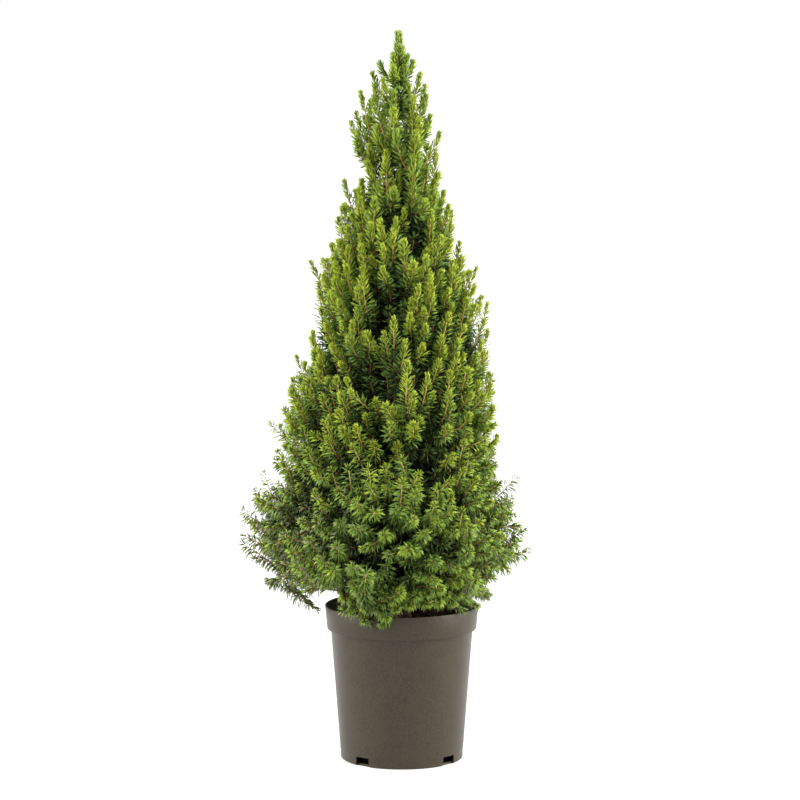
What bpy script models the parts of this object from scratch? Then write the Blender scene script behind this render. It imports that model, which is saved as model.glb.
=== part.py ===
"""Dwarf Alberta spruce in its nursery pot, at real size, in metres with +Z up.

The origin is the middle of the pot's flat underside. -Y is the plant's front and +X its right.
The trunk runs up through the crown. Boughs leave it in tiers, and each carries one mass of
foliage, which keeps to its own space: the points nearer to its middle than to any other mass's.
"""

import math

import bmesh
import bpy
import numpy as np
from mathutils import Vector

SEAT_GAP = 0.0003          # clear space between pieces that touch

# ---- pot ----
POT_HEIGHT = 0.192
RIM_RADIUS = 0.095
COLLAR_HEIGHT = 0.029
COLLAR_FOOT_RADIUS = 0.0923
BODY_TOP_RADIUS = 0.0877
BODY_FOOT_RADIUS = 0.0762
FOOT_ROUNDING = 0.0030
LEDGE_HEIGHT = 0.0125
LEDGE_DEPTH = 0.0004
POT_WALL = 0.0016
POT_FLOOR = 0.0025
POT_SIDES = 40
NOTCH_COUNT = 4
NOTCH_FIRST_TURN = 50.0    # degrees from +X, anticlockwise seen from above
NOTCH_WIDTH = 0.019
NOTCH_HEIGHT = 0.0085
NOTCH_DEPTH = 0.011
NOTCH_TOP_SHARE = 0.84     # a notch's width at its top to that at the pot's foot

# ---- soil ----
SOIL_TOP = 0.176
SOIL_DISH = 0.003          # how much lower the soil lies at the pot's wall
SOIL_LEVEL_RADIUS = 0.0255   # level ground round the trunk's foot
SOIL_SIDES = 24

# ---- trunk ----
TRUNK_TOP = 0.800
TRUNK_FOOT_RADIUS = 0.0085
TRUNK_TIP_RADIUS = 0.0012
FLARE_RADIUS = 0.0040      # added at the soil
FLARE_HEIGHT = 0.016
TRUNK_LEAN = -0.0045       # how far the tip stands to the left of the foot
TRUNK_SWAY = 0.0018
TRUNK_STEPS = 12
TRUNK_CROWDING = 1.5       # power that sets the trunk's rings closer together near its foot

# ---- crown ----
# Heights, and how far the crown reaches there to the left and to the right.
CROWN_OUTLINE = (
    (0.176, 0.098, 0.094),
    (0.200, 0.128, 0.104),
    (0.225, 0.152, 0.126),
    (0.245, 0.180, 0.146),
    (0.265, 0.198, 0.158),
    (0.300, 0.197, 0.150),
    (0.330, 0.183, 0.143),
    (0.360, 0.170, 0.130),
    (0.400, 0.153, 0.123),
    (0.440, 0.150, 0.121),
    (0.475, 0.140, 0.120),
    (0.505, 0.120, 0.113),
    (0.560, 0.107, 0.104),
    (0.615, 0.108, 0.084),
    (0.650, 0.088, 0.070),
    (0.700, 0.072, 0.054),
    (0.725, 0.053, 0.040),
    (0.765, 0.062, 0.046),
    (0.815, 0.052, 0.031),
    (0.842, 0.036, 0.024),
    (0.860, 0.016, 0.010),
    (0.896, 0.009, 0.003),
)
CROWN_TOP = 0.896
TIP_ZONE_TOP = 0.884       # the leader alone reaches above this
WIDEST_HEIGHT = 0.265
# Height, and turn in degrees from +X, of the tips that give the crown its full size.
OUTERMOST_TIPS = (
    (CROWN_TOP, 180.0),
    (WIDEST_HEIGHT, 180.0),
    (0.300, 180.0),
    (WIDEST_HEIGHT, 0.0),
    (0.300, 0.0),
)
# Lean of the shoots from upright, in degrees, by height.
SHOOT_LEAN = (
    (0.180, 150.0),
    (0.215, 116.0),
    (0.250, 88.0),
    (0.310, 62.0),
    (0.390, 38.0),
    (0.480, 22.0),
    (0.900, 10.0),
)
MOST_LEAN = 160.0
LEAN_TRIES = (0.0, 0.0, 18.0, 40.0)
LEAN_SPREAD = 8.0
TURN_SPREAD = 14.0

# One row for each tier, from the lowest: masses, height where the limbs leave the trunk,
# height of the masses' middles, their share of the crown's reach, turn of the first one.
TIERS = (
    ("skirt", 6, 0.198, 0.236, 0.60, 33.0),
    ("lower", 6, 0.238, 0.327, 0.60, 4.0),
    ("middle", 6, 0.318, 0.426, 0.58, 31.0),
    ("upper", 4, 0.405, 0.518, 0.52, 3.0),
    ("shoulder", 4, 0.490, 0.604, 0.48, 48.0),
    ("neck", 3, 0.585, 0.688, 0.46, 32.0),
    ("top", 3, 0.668, 0.765, 0.42, 88.0),
)
BOUGH_TIERS = ("skirt", "lower", "middle", "upper")
OPEN_TIERS = ("neck", "top", "leader")
BOUGH_SHARE = 0.45         # share of a limb that is bough, before the stem of its mass
LIMB_BEND = 0.55           # how much flatter a limb starts than it ends
LIMB_TO_TRUNK = 0.40       # bough's foot radius to the trunk's there
LIMB_STEPS = 20            # steps in which a limb's path is worked out
LIMB_RINGS = 4             # rings of each bough and stem
BOUGH_TIP_RADIUS = 0.0017
STEM_TIP_RADIUS = 0.0009
LEADER_MIDDLE = 0.842
LEADER_STEM_TOP = 0.874

# ---- sprigs of needles ----
SPRIG_COUNT = 232
SPRIG_LENGTH = ((0.18, 0.056), (0.68, 0.052), (0.80, 0.040), (0.90, 0.032))   # by height
SPRIG_FOOT = 0.06          # share of a bare twig that its swollen foot takes
SPRIG_FOOT_RADIUS = 0.0013
# Shares of a sprig's needled length: its core's radius, how far the needles' tips stand from its
# middle line, and how far they point towards its own tip.
SPRIG_CORE = 0.055
NEEDLE_REACH = 0.235
NEEDLE_SWEEP = 0.160
NEEDLE_ROWS = ((0.84, 1.0), (0.54, 0.94), (0.27, 0.58))   # place from the tip, and size
SPRIG_CANDIDATES = 5000
# How much closer together the sprigs stand than on the skirt, by height.
SPRIG_CLOSENESS = ((0.18, 1.0), (0.60, 1.05), (0.72, 1.7), (0.90, 2.4))
NEEDLED_SHARE = 0.80       # most of a sprig that can bear needles
SHARPEST_BEND = 0.30       # cosine of the sharpest bend between a sprig's twig and its tip
BEND_BEHIND_TIP = 0.80     # place of the bend, in lengths of needled sprig behind the tip,
BEND_LIMIT = 0.70          # and as the most it can be of the way back to the root
HUBS = 12                  # places along a stem where a sprig can leave it
TWIG_START = 1.25          # a twig starts this many sprig lengths behind the tip,
TWIG_RISE = 0.30           # and rises by this share of its way out
HUB_MARGIN = 0.0025
ROOT_DEPTH = 0.6           # how far a root goes past the stem's middle line, in stem radii
CELL_MARGIN = 0.0005
LIMB_CLEARANCE = 0.0010
POT_CLEARANCE = 0.0030

# ---- cores of the dense masses ----
CORE_DEPTH = 0.019         # core's surface from the crown's outline
CORE_MARGIN = 0.0015       # and from its neighbours' space
CORE_REACH = 0.095
CORE_STEP = 0.002
CORE_DENTS = (0.0, 0.06, 0.24)   # shares by which a core's corners are drawn in
DRAW_IN_ROUNDS = 40
DRAW_IN_SHARE = 0.93
FACE_SAMPLES = 6           # steps along each side of a face when its clearance is measured

WELD = 0.000002            # points nearer than this are one point
SEED = 23


# ---------------------------------------------------------------- shape rules

def crown_reach(height, turn):
    """How far the crown reaches from the trunk's foot line, at a height and a turn in radians."""
    heights, left, right = np.array(CROWN_OUTLINE).T
    to_left = np.interp(height, heights, left)
    to_right = np.interp(height, heights, right)
    return (to_left + to_right) / 2 + np.cos(turn) * (to_right - to_left) / 2


def trunk_middle(height):
    """The trunk's middle line at a height."""
    share = (height - SOIL_TOP) / (TRUNK_TOP - SOIL_TOP)
    along = TRUNK_LEAN * share ** 2 + TRUNK_SWAY * math.sin(2 * math.pi * share)
    across = TRUNK_SWAY * math.sin(3 * math.pi * share) * share
    return np.array((along, across, height))


def trunk_radius(height):
    share = (height - SOIL_TOP) / (TRUNK_TOP - SOIL_TOP)
    taper = TRUNK_FOOT_RADIUS + (TRUNK_TIP_RADIUS - TRUNK_FOOT_RADIUS) * share
    return taper + FLARE_RADIUS * math.exp(-(height - SOIL_TOP) / FLARE_HEIGHT)


def limb_path(root_height, head, steps):
    """Points from the trunk's surface to a mass's middle, flat at first and then rising."""
    root = trunk_middle(root_height)
    run = Vector((head[0] - root[0], head[1] - root[1], 0))
    rise = head[2] - root[2]
    slope = math.atan2(rise * (1 - LIMB_BEND), run.length * (1 + LIMB_BEND))
    radius = trunk_radius(root_height)
    start = radius + SEAT_GAP + radius * LIMB_TO_TRUNK * math.sin(slope)
    points = []
    for step in range(steps + 1):
        share = step / steps
        out = start + (run.length - start) * ((1 + LIMB_BEND) * share - LIMB_BEND * share ** 2)
        up = rise * ((1 - LIMB_BEND) * share + LIMB_BEND * share ** 2)
        points.append(root + np.array(run.normalized() * out) + np.array((0, 0, up)))
    return np.array(points)


def crown_masses():
    """Name, tier, limb's root height and middle of every mass of foliage."""
    masses = []
    for tier, count, root_height, head_height, share, first_turn in TIERS:
        for number in range(count):
            turn = math.radians(first_turn + 360.0 * number / count)
            out = crown_reach(head_height, turn) * share
            middle = trunk_middle(min(head_height, TRUNK_TOP))
            head = (middle[0] + out * math.cos(turn), middle[1] + out * math.sin(turn), head_height)
            masses.append((f"{tier}_foliage_{number + 1}", tier, root_height, np.array(head)))
    leader = trunk_middle(TRUNK_TOP) + np.array((0, 0, LEADER_MIDDLE - TRUNK_TOP))
    masses.append(("leader_foliage", "leader", TRUNK_TOP, leader))
    return masses


def shoot_tips(count, random):
    """Places on the crown's outline, spread evenly over its surface, after the outermost ones."""
    drawn = count * 3
    heights = random.uniform(CROWN_OUTLINE[0][0], TIP_ZONE_TOP, drawn)
    turns = random.uniform(-math.pi, math.pi, drawn)
    # A wider level has more room for tips, so fewer of its draws are thrown away.
    kept = random.uniform(0, crown_reach(WIDEST_HEIGHT, math.pi), drawn) < crown_reach(heights, turns)
    first_heights, first_turns = np.array(OUTERMOST_TIPS).T
    heights = np.concatenate((first_heights, heights[kept][:count]))
    turns = np.concatenate((np.radians(first_turns), turns[kept][:count]))
    reach = crown_reach(heights, turns)
    return np.stack((reach * np.cos(turns), reach * np.sin(turns), heights), axis=1)


def shoot_direction(tip, extra_lean, random):
    """Direction in which the shoot that ends at a tip grows: out and up, drooping on the skirt."""
    heights, leans = np.array(SHOOT_LEAN).T
    lean = np.interp(tip[2], heights, leans) + extra_lean + random.normal(0, LEAN_SPREAD)
    turn = math.atan2(tip[1], tip[0]) + math.radians(random.normal(0, TURN_SPREAD))
    lean = math.radians(min(lean, MOST_LEAN))
    return np.array((math.sin(lean) * math.cos(turn), math.sin(lean) * math.sin(turn), math.cos(lean)))


# ---------------------------------------------------------------- clear space

def distance_to_limbs(points, limbs):
    """Distance from each point to the nearest limb's surface. Limbs are joined stretches."""
    starts, alongs, radii = limbs
    from_start = points[:, None, :] - starts[None, :, :]
    share = np.einsum("psi,si->ps", from_start, alongs) / np.einsum("si,si->s", alongs, alongs)
    off_line = from_start - np.clip(share, 0, 1)[:, :, None] * alongs
    return (np.linalg.norm(off_line, axis=2) - radii).min(axis=1)


def straight_stretches(limbs):
    """Starts, directions and radii of all the straight stretches of some (points, radii) limbs."""
    starts = np.concatenate([path[:-1] for path, _ in limbs])
    alongs = np.concatenate([np.diff(path, axis=0) for path, _ in limbs])
    radii = np.concatenate([np.asarray(radii)[:-1] for _, radii in limbs])
    return starts, alongs, radii


def clear_of_pot(points):
    radius = np.hypot(points[:, 0], points[:, 1])
    return (radius > RIM_RADIUS + POT_CLEARANCE) | (points[:, 2] > POT_HEIGHT + POT_CLEARANCE)


def inside_own_space(points, own, heads, margin):
    """True for points that lie nearer to their own mass's middle than to any other's."""
    clear = np.ones(len(points), dtype=bool)
    for other, head in enumerate(heads):
        if other != own:
            across = head - heads[own]
            span = np.linalg.norm(across)
            from_middle = (points - (head + heads[own]) / 2) @ (across / span)
            clear &= from_middle < -margin
    return clear


# ---------------------------------------------------------------- mesh helpers

def new_material(name, colour, roughness):
    material = bpy.data.materials.new(name)
    material.use_nodes = True
    shader = material.node_tree.nodes["Principled BSDF"]
    shader.inputs["Base Color"].default_value = (*colour, 1.0)
    shader.inputs["Roughness"].default_value = roughness
    return material


def new_collection(name):
    collection = bpy.data.collections.new(name)
    bpy.context.scene.collection.children.link(collection)
    return collection


def new_object(name, mesh, collection):
    item = bpy.data.objects.new(name, mesh)
    collection.objects.link(item)
    return item


def mesh_from(shape, name):
    mesh = bpy.data.meshes.new(name)
    shape.to_mesh(mesh)
    shape.free()
    return mesh


def evaluated_mesh(item):
    bpy.context.view_layer.update()
    depsgraph = bpy.context.evaluated_depsgraph_get()
    return bpy.data.meshes.new_from_object(item.evaluated_get(depsgraph))


def limb_curve(name, points, radii, sides_setting, collection):
    """A tapering limb along the points, with filled ends."""
    curve = bpy.data.curves.new(name, "CURVE")
    curve.dimensions = "3D"
    curve.bevel_depth = 1.0
    curve.bevel_resolution = sides_setting
    curve.use_fill_caps = True
    spline = curve.splines.new("POLY")
    spline.points.add(len(points) - 1)
    for spline_point, place, radius in zip(spline.points, points, radii):
        spline_point.co = (*place, 1.0)
        spline_point.radius = radius
    return new_object(name, curve, collection)


def limb_mesh(name, points, radii, sides_setting, collection):
    """The same limb as a closed mesh, ready to be joined."""
    item = limb_curve(name, points, radii, sides_setting, collection)
    shape = bmesh.new()
    shape.from_mesh(evaluated_mesh(item))
    bmesh.ops.remove_doubles(shape, verts=shape.verts, dist=1e-6)
    bpy.data.objects.remove(item)
    return new_object(name, mesh_from(shape, name), collection)


def turned_solid(name, profile, sides, collection):
    """A profile of (radius, height) points, from the axis round to the axis, turned about +Z."""
    mesh = bpy.data.meshes.new(name)
    mesh.from_pydata([(radius, 0, height) for radius, height in profile],
                     [(index, index + 1) for index in range(len(profile) - 1)], [])
    item = new_object(name, mesh, collection)
    screw = item.modifiers.new("turn", "SCREW")
    screw.axis = "Z"
    screw.steps = sides
    screw.render_steps = sides
    screw.use_merge_vertices = True
    screw.merge_threshold = 0.0001
    return item


# ---------------------------------------------------------------- pot, soil, limbs

def body_radius(height):
    """Outer radius of the pot's wall under its collar."""
    share = (height - LEDGE_HEIGHT) / (POT_HEIGHT - COLLAR_HEIGHT - LEDGE_HEIGHT)
    return BODY_FOOT_RADIUS + (BODY_TOP_RADIUS - BODY_FOOT_RADIUS) * share


def inner_radius(height):
    """Inner radius of the pot, which follows its wall and widens behind the collar."""
    collar_foot = POT_HEIGHT - COLLAR_HEIGHT
    if height <= collar_foot:
        return body_radius(height) - POT_WALL
    share = (height - collar_foot) / COLLAR_HEIGHT
    return BODY_TOP_RADIUS + (RIM_RADIUS - BODY_TOP_RADIUS) * min(share * 2, 1.0) - POT_WALL


def build_pot(collection, cutters):
    collar_foot = POT_HEIGHT - COLLAR_HEIGHT
    collar_middle = POT_HEIGHT - COLLAR_HEIGHT / 2
    inside = [(0.0, POT_FLOOR), (inner_radius(POT_FLOOR), POT_FLOOR)]
    inside += [(inner_radius(height), height) for height in (collar_foot, collar_middle, POT_HEIGHT)]
    outside = [(RIM_RADIUS, POT_HEIGHT), (COLLAR_FOOT_RADIUS, collar_foot)]
    outside += [(body_radius(collar_foot), collar_foot), (BODY_FOOT_RADIUS, LEDGE_HEIGHT)]
    foot_radius = BODY_FOOT_RADIUS - LEDGE_DEPTH
    outside.append((foot_radius, LEDGE_HEIGHT - LEDGE_DEPTH))
    corner = foot_radius - FOOT_ROUNDING
    for step in range(4):
        turn = math.radians(30.0 * step)
        outside.append((corner + FOOT_ROUNDING * math.cos(turn), FOOT_ROUNDING * (1 - math.sin(turn))))
    pot = turned_solid("pot", inside + outside + [(0.0, 0.0)], POT_SIDES, collection)
    for number in range(NOTCH_COUNT):
        cutter = notch_cutter(number, cutters)
        cut = pot.modifiers.new(f"notch_{number + 1}", "BOOLEAN")
        cut.operation = "DIFFERENCE"
        cut.solver = "EXACT"
        cut.object = cutter
    pot.data.materials.append(new_material("pot_plastic", (0.080, 0.068, 0.052), 0.55))
    return pot


def notch_cutter(number, cutters):
    """A block that is narrower at its top, set across the corner of the pot's foot."""
    shape = bmesh.new()
    bmesh.ops.create_cube(shape, size=1.0)
    for vertex in shape.verts:
        narrowing = NOTCH_TOP_SHARE if vertex.co.z > 0 else 1.0
        vertex.co.x *= 2 * NOTCH_DEPTH
        vertex.co.y *= NOTCH_WIDTH * narrowing
        vertex.co.z *= 2 * NOTCH_HEIGHT
    cutter = new_object(f"notch_cutter_{number + 1}", mesh_from(shape, "notch_cutter"), cutters)
    turn = math.radians(NOTCH_FIRST_TURN + 360.0 * number / NOTCH_COUNT)
    cutter.location = (BODY_FOOT_RADIUS * math.cos(turn), BODY_FOOT_RADIUS * math.sin(turn), 0)
    cutter.rotation_euler = (0, 0, turn)
    cutter.hide_render = True
    cutter.display_type = "WIRE"
    return cutter


def build_soil(collection):
    bottom = POT_FLOOR + SEAT_GAP
    edge = SOIL_TOP - SOIL_DISH
    # The soil has fewer sides than the pot, so its corners stay just inside the pot's flats.
    inset = SEAT_GAP + BODY_TOP_RADIUS * (1 - math.cos(math.pi / POT_SIDES))
    collar_foot = POT_HEIGHT - COLLAR_HEIGHT
    profile = [(0.0, SOIL_TOP), (SOIL_LEVEL_RADIUS, SOIL_TOP), (inner_radius(edge) - inset, edge)]
    profile += [(inner_radius(height) - inset, height) for height in (collar_foot, bottom)]
    soil = turned_solid("soil", profile + [(0.0, bottom)], SOIL_SIDES, collection)
    soil.data.materials.append(new_material("potting_soil", (0.035, 0.022, 0.014), 0.95))


def build_trunk(collection, bark):
    """Returns the trunk as a limb, for the clear space round it."""
    spread = [(step / TRUNK_STEPS) ** TRUNK_CROWDING for step in range(TRUNK_STEPS + 1)]
    foot = SOIL_TOP + SEAT_GAP
    heights = [foot + (TRUNK_TOP - foot) * share for share in spread]
    heights.insert(1, foot + FLARE_HEIGHT / 2)
    points = np.array([trunk_middle(height) for height in heights])
    # The two lowest points stand on one vertical line, so that the foot is cut level.
    points[0, :2] = points[1, :2]
    radii = [trunk_radius(height) for height in heights]
    trunk = limb_curve("trunk", points, radii, 4, collection)
    trunk.data.materials.append(bark)
    return points, radii


def limb_radii(root_height, count, first_share, last_share):
    foot = trunk_radius(root_height) * LIMB_TO_TRUNK
    shares = np.linspace(first_share, last_share, count)
    return np.interp(shares, (0.0, BOUGH_SHARE, 1.0), (foot, min(foot, BOUGH_TIP_RADIUS), STEM_TIP_RADIUS))


def build_limbs(masses, collection, bark):
    """Makes each bough, and returns the boughs and the stems that carry on from them."""
    boughs = []
    stems = []
    for name, tier, root_height, head in masses:
        if tier == "leader":
            rise = np.array([[0, 0, SEAT_GAP], [0, 0, LEADER_STEM_TOP - TRUNK_TOP]])
            stems.append((trunk_middle(TRUNK_TOP) + rise, [TRUNK_TIP_RADIUS, STEM_TIP_RADIUS]))
            continue
        path = limb_path(root_height, head, LIMB_STEPS)
        cut = 0
        if tier in BOUGH_TIERS:
            cut = round(LIMB_STEPS * BOUGH_SHARE)
            rows = np.linspace(0, cut, LIMB_RINGS).astype(int)
            radii = limb_radii(root_height, len(rows), 0.0, BOUGH_SHARE)
            bough = limb_curve(name.replace("foliage", "bough"), path[rows], radii, 1, collection)
            bough.data.materials.append(bark)
            boughs.append((path[rows], radii))
            onward = path[cut + 1] - path[cut]
            path[cut] += SEAT_GAP * onward / np.linalg.norm(onward)
        rows = np.linspace(cut, LIMB_STEPS, LIMB_RINGS).astype(int)
        stems.append((path[rows], limb_radii(root_height, len(rows), cut / LIMB_STEPS, 1.0)))
    return boughs, stems


# ---------------------------------------------------------------- foliage

def sprig_length(height):
    """Length of a sprig that bears needles, by the height of its tip."""
    return np.interp(height, *np.array(SPRIG_LENGTH).T)


def sprig_mesh(root, tip, direction, bare_foot):
    """A tapering core from its root in the stem to its tip, with needles that stand out of it."""
    needled = sprig_length(tip[2])
    bend = tip - direction * min(needled * BEND_BEHIND_TIP, np.linalg.norm(tip - root) * BEND_LIMIT)
    length = np.linalg.norm(bend - root) + np.linalg.norm(tip - bend)
    needled = min(needled, length * NEEDLED_SHARE)
    rings = [(1 - needled * from_tip / length, size) for from_tip, size in NEEDLE_ROWS]
    rings.append((1.0, 0.0))
    rings.insert(0, (0.0, 0.0))
    if bare_foot:
        rings.insert(1, (SPRIG_FOOT, 0.0))
    shape = bmesh.new()
    bmesh.ops.create_uvsphere(shape, u_segments=4, v_segments=len(rings) - 1, radius=1.0)
    for vertex in shape.verts:
        level = round((1 - math.acos(max(-1.0, min(1.0, vertex.co.z))) / math.pi) * (len(rings) - 1))
        share, size = rings[level]
        middle = (1 - share) ** 2 * root + 2 * share * (1 - share) * bend + share ** 2 * tip
        along = Vector(2 * (1 - share) * (bend - root) + 2 * share * (tip - bend)).normalized()
        side = along.cross(Vector((0.31, 0.87, 0.38))).normalized()
        turn = math.atan2(vertex.co.y, vertex.co.x)
        outward = side * math.cos(turn) + along.cross(side) * math.sin(turn)
        if level in (0, len(rings) - 1):
            vertex.co = Vector(middle)
        elif size == 0.0:
            vertex.co = Vector(middle) + outward * SPRIG_FOOT_RADIUS
        elif (round(turn / (math.pi / 2)) + level) % 2 == 0:
            vertex.co = Vector(middle) + (outward * NEEDLE_REACH + along * NEEDLE_SWEEP) * size * needled
        else:
            vertex.co = Vector(middle) + outward * SPRIG_CORE * needled
    return shape


def samples_of(shape):
    """Points spread over a shape's edges and faces."""
    points = [vertex.co for vertex in shape.verts]
    for edge in shape.edges:
        first, second = edge.verts
        points += [first.co.lerp(second.co, share) for share in (0.25, 0.5, 0.75)]
    points += [face.calc_center_median() for face in shape.faces]
    return np.array(points)


def grow_sprig(tip, mass, heads, stem, obstacles, bare_foot, random):
    """A sprig for the tip that stays in its mass's space and clear of the limbs, or None."""
    path, radii = stem
    for extra_lean in LEAN_TRIES:
        direction = shoot_direction(tip, extra_lean, random)
        base = tip - direction * sprig_length(tip[2])
        # Each try takes its own places along the stem, so that no two sprigs share a root.
        shares = (np.arange(HUBS) + random.uniform(0.2, 0.8)) / HUBS
        rows = np.linspace(0.0, 1.0, len(path))
        hubs = np.stack([np.interp(shares, rows, path[:, axis]) for axis in range(3)], axis=1)
        hubs = hubs[inside_own_space(hubs, mass, heads, HUB_MARGIN)]
        if not len(hubs):
            continue
        below = tip + (base - tip) * TWIG_START
        below = below - np.array((0, 0, TWIG_RISE * np.linalg.norm(base[:2] - heads[mass][:2])))
        hub = hubs[np.argmin(np.linalg.norm(hubs - below, axis=1))]
        into_stem = (hub - base) / max(np.linalg.norm(hub - base), 1e-6)
        if -into_stem @ direction < SHARPEST_BEND:
            continue
        root = hub + into_stem * radii[-1] * ROOT_DEPTH
        shape = sprig_mesh(root, tip, direction, bare_foot)
        points = samples_of(shape)
        fits = inside_own_space(points, mass, heads, CELL_MARGIN).all() and clear_of_pot(points).all()
        if fits and distance_to_limbs(points, obstacles).min() > LIMB_CLEARANCE:
            return shape
        shape.free()
    return None


def nearest_head(tip, heads):
    """The mass that a tip belongs to, judged a little below it, where its sprig stands."""
    middle = tip - shoot_axis_lift(tip)
    return int(np.argmin(np.linalg.norm(heads - middle, axis=1)))


def shoot_axis_lift(tip):
    heights, leans = np.array(SHOOT_LEAN).T
    lean = math.radians(np.interp(tip[2], heights, leans))
    outward = np.array((tip[0], tip[1], 0)) / max(np.hypot(tip[0], tip[1]), 1e-6)
    return (outward * math.sin(lean) + np.array((0, 0, math.cos(lean)))) * sprig_length(tip[2]) / 2


def grow_sprigs(masses, stems, obstacles_of):
    """Sprigs for every mass: the outermost tips first, then always the tip farthest from the others."""
    random = np.random.RandomState(SEED)
    heads = np.array([head for _, _, _, head in masses])
    tips = shoot_tips(SPRIG_CANDIDATES, random)
    closeness = np.interp(tips[:, 2], *np.array(SPRIG_CLOSENESS).T)
    spacing = np.full(len(tips), CROWN_TOP)
    outermost = list(range(len(OUTERMOST_TIPS)))
    sprigs = [[] for _ in masses]
    grown = 0
    while grown < SPRIG_COUNT and spacing.max() > 0:
        index = outermost.pop(0) if outermost else int(np.argmax(spacing))
        mass = nearest_head(tips[index], heads)
        bare_foot = masses[mass][1] in OPEN_TIERS
        shape = grow_sprig(tips[index], mass, heads, stems[mass], obstacles_of[mass], bare_foot, random)
        spacing[index] = 0
        if shape is not None:
            sprigs[mass].append(shape)
            spacing = np.minimum(spacing, np.linalg.norm(tips - tips[index], axis=1) * closeness)
            grown += 1
    return sprigs


def core_shape(mass, heads, obstacles, random):
    """A rough rounded body that fills the middle of a mass's space, clear of its neighbours."""
    shape = bmesh.new()
    bmesh.ops.create_icosphere(shape, subdivisions=2, radius=1.0)
    rays = np.arange(CORE_STEP, CORE_REACH, CORE_STEP)
    for vertex in shape.verts:
        points = heads[mass] + np.array(vertex.co)[None, :] * rays[:, None]
        depth = crown_reach(points[:, 2], np.arctan2(points[:, 1], points[:, 0]))
        depth = depth - np.hypot(points[:, 0], points[:, 1])
        clear = inside_own_space(points, mass, heads, CORE_MARGIN) & clear_of_pot(points)
        clear &= (depth > CORE_DEPTH) & (distance_to_limbs(points, obstacles) > CORE_MARGIN)
        reach = rays[np.argmin(clear) - 1] if not clear.all() else rays[-1]
        reach = max(reach, CORE_STEP) * (1 - random.choice(CORE_DENTS))
        vertex.co = Vector(heads[mass]) + vertex.co * reach
    draw_in(shape, heads[mass], obstacles)
    return shape


def draw_in(shape, middle, obstacles):
    """Pulls the corners of each face that comes near a limb towards the core's middle."""
    steps = range(FACE_SAMPLES + 1)
    weights = np.array([(first, second, FACE_SAMPLES - first - second) for first in steps
                        for second in steps if first + second <= FACE_SAMPLES]) / FACE_SAMPLES
    for _ in range(DRAW_IN_ROUNDS):
        corners = np.array([[vertex.co for vertex in face.verts] for face in shape.faces])
        samples = np.einsum("wc,fci->fwi", weights, corners)
        gaps = distance_to_limbs(samples.reshape(-1, 3), obstacles).reshape(len(corners), -1)
        near = {vertex for face, gap in zip(shape.faces, gaps.min(axis=1))
                if gap < LIMB_CLEARANCE for vertex in face.verts}
        if not near:
            return
        for vertex in near:
            vertex.co = Vector(middle) + (vertex.co - Vector(middle)) * DRAW_IN_SHARE


def union_of(name, pieces, solver):
    """One mesh of all the pieces, joined by a Boolean union on a collection."""
    workshop = new_collection(name + "_pieces")
    joined = new_collection(name + "_joined")
    items = [new_object(f"{name}_{index}", mesh, workshop if index else joined)
             for index, mesh in enumerate(pieces)]
    union = items[0].modifiers.new("union", "BOOLEAN")
    union.operation = "UNION"
    union.solver = solver
    union.operand_type = "COLLECTION"
    union.collection = workshop
    mesh = evaluated_mesh(items[0])
    for item in items:
        bpy.data.objects.remove(item)
    bpy.data.collections.remove(workshop)
    bpy.data.collections.remove(joined)
    return mesh


def keep_main_body(mesh):
    """Drops loose scraps and the walls of sealed hollows. True if one sound body is left."""
    shape = bmesh.new()
    shape.from_mesh(mesh)
    bmesh.ops.remove_doubles(shape, verts=shape.verts, dist=WELD)
    unseen = set(shape.faces)
    main = set()
    while unseen:
        body = set()
        waiting = [next(iter(unseen))]
        while waiting:
            face = waiting.pop()
            if face not in body:
                body.add(face)
                waiting.extend(other for edge in face.edges for other in edge.link_faces)
        unseen -= body
        main = max(main, body, key=len)
    bmesh.ops.delete(shape, geom=[face for face in shape.faces if face not in main], context="FACES")
    # Points with only two edges lie on a straight edge between two faces, and aren't needed.
    between = [vertex for vertex in shape.verts if len(vertex.link_edges) == 2]
    bmesh.ops.dissolve_verts(shape, verts=between)
    shape.to_mesh(mesh)
    shape.free()
    for quads, polygons in (("BEAUTY", "BEAUTY"), ("SHORT_EDGE", "EAR_CLIP"), ("FIXED", "BEAUTY")):
        shape = bmesh.new()
        shape.from_mesh(mesh)
        bmesh.ops.triangulate(shape, faces=shape.faces, quad_method=quads, ngon_method=polygons)
        sound = all(len(edge.link_faces) == 2 for edge in shape.edges)
        sound = sound and all(vertex.is_manifold for vertex in shape.verts)
        if sound:
            shape.to_mesh(mesh)
            shape.free()
            return True
        shape.free()
    return False


def fuse(name, pieces, collection, foliage):
    """Joins a mass into one closed solid, with the last sprig left out where the join fails."""
    while True:
        for solver in ("EXACT", "MANIFOLD"):
            mesh = union_of(name, pieces, solver)
            if keep_main_body(mesh):
                mesh.materials.clear()
                mesh.materials.append(foliage)
                return new_object(name, mesh, collection)
        pieces.pop()


def build_foliage(masses, trunk, boughs, stems, collection):
    random = np.random.RandomState(SEED + 1)
    foliage = new_material("spruce_needles", (0.075, 0.130, 0.022), 0.60)
    heads = np.array([head for _, _, _, head in masses])
    obstacles_of = [straight_stretches([trunk] + boughs + stems[:own] + stems[own + 1:])
                    for own in range(len(masses))]
    sprigs = grow_sprigs(masses, stems, obstacles_of)
    for own, (name, tier, _, _) in enumerate(masses):
        stem = limb_mesh(name + "_stem", stems[own][0], stems[own][1], 0, collection)
        pieces = [stem.data]
        bpy.data.objects.remove(stem)
        if tier not in OPEN_TIERS:
            pieces.append(mesh_from(core_shape(own, heads, obstacles_of[own], random), name + "_core"))
        pieces += [mesh_from(shape, f"{name}_sprig") for shape in sprigs[own]]
        fuse(name, pieces, collection, foliage)


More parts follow.
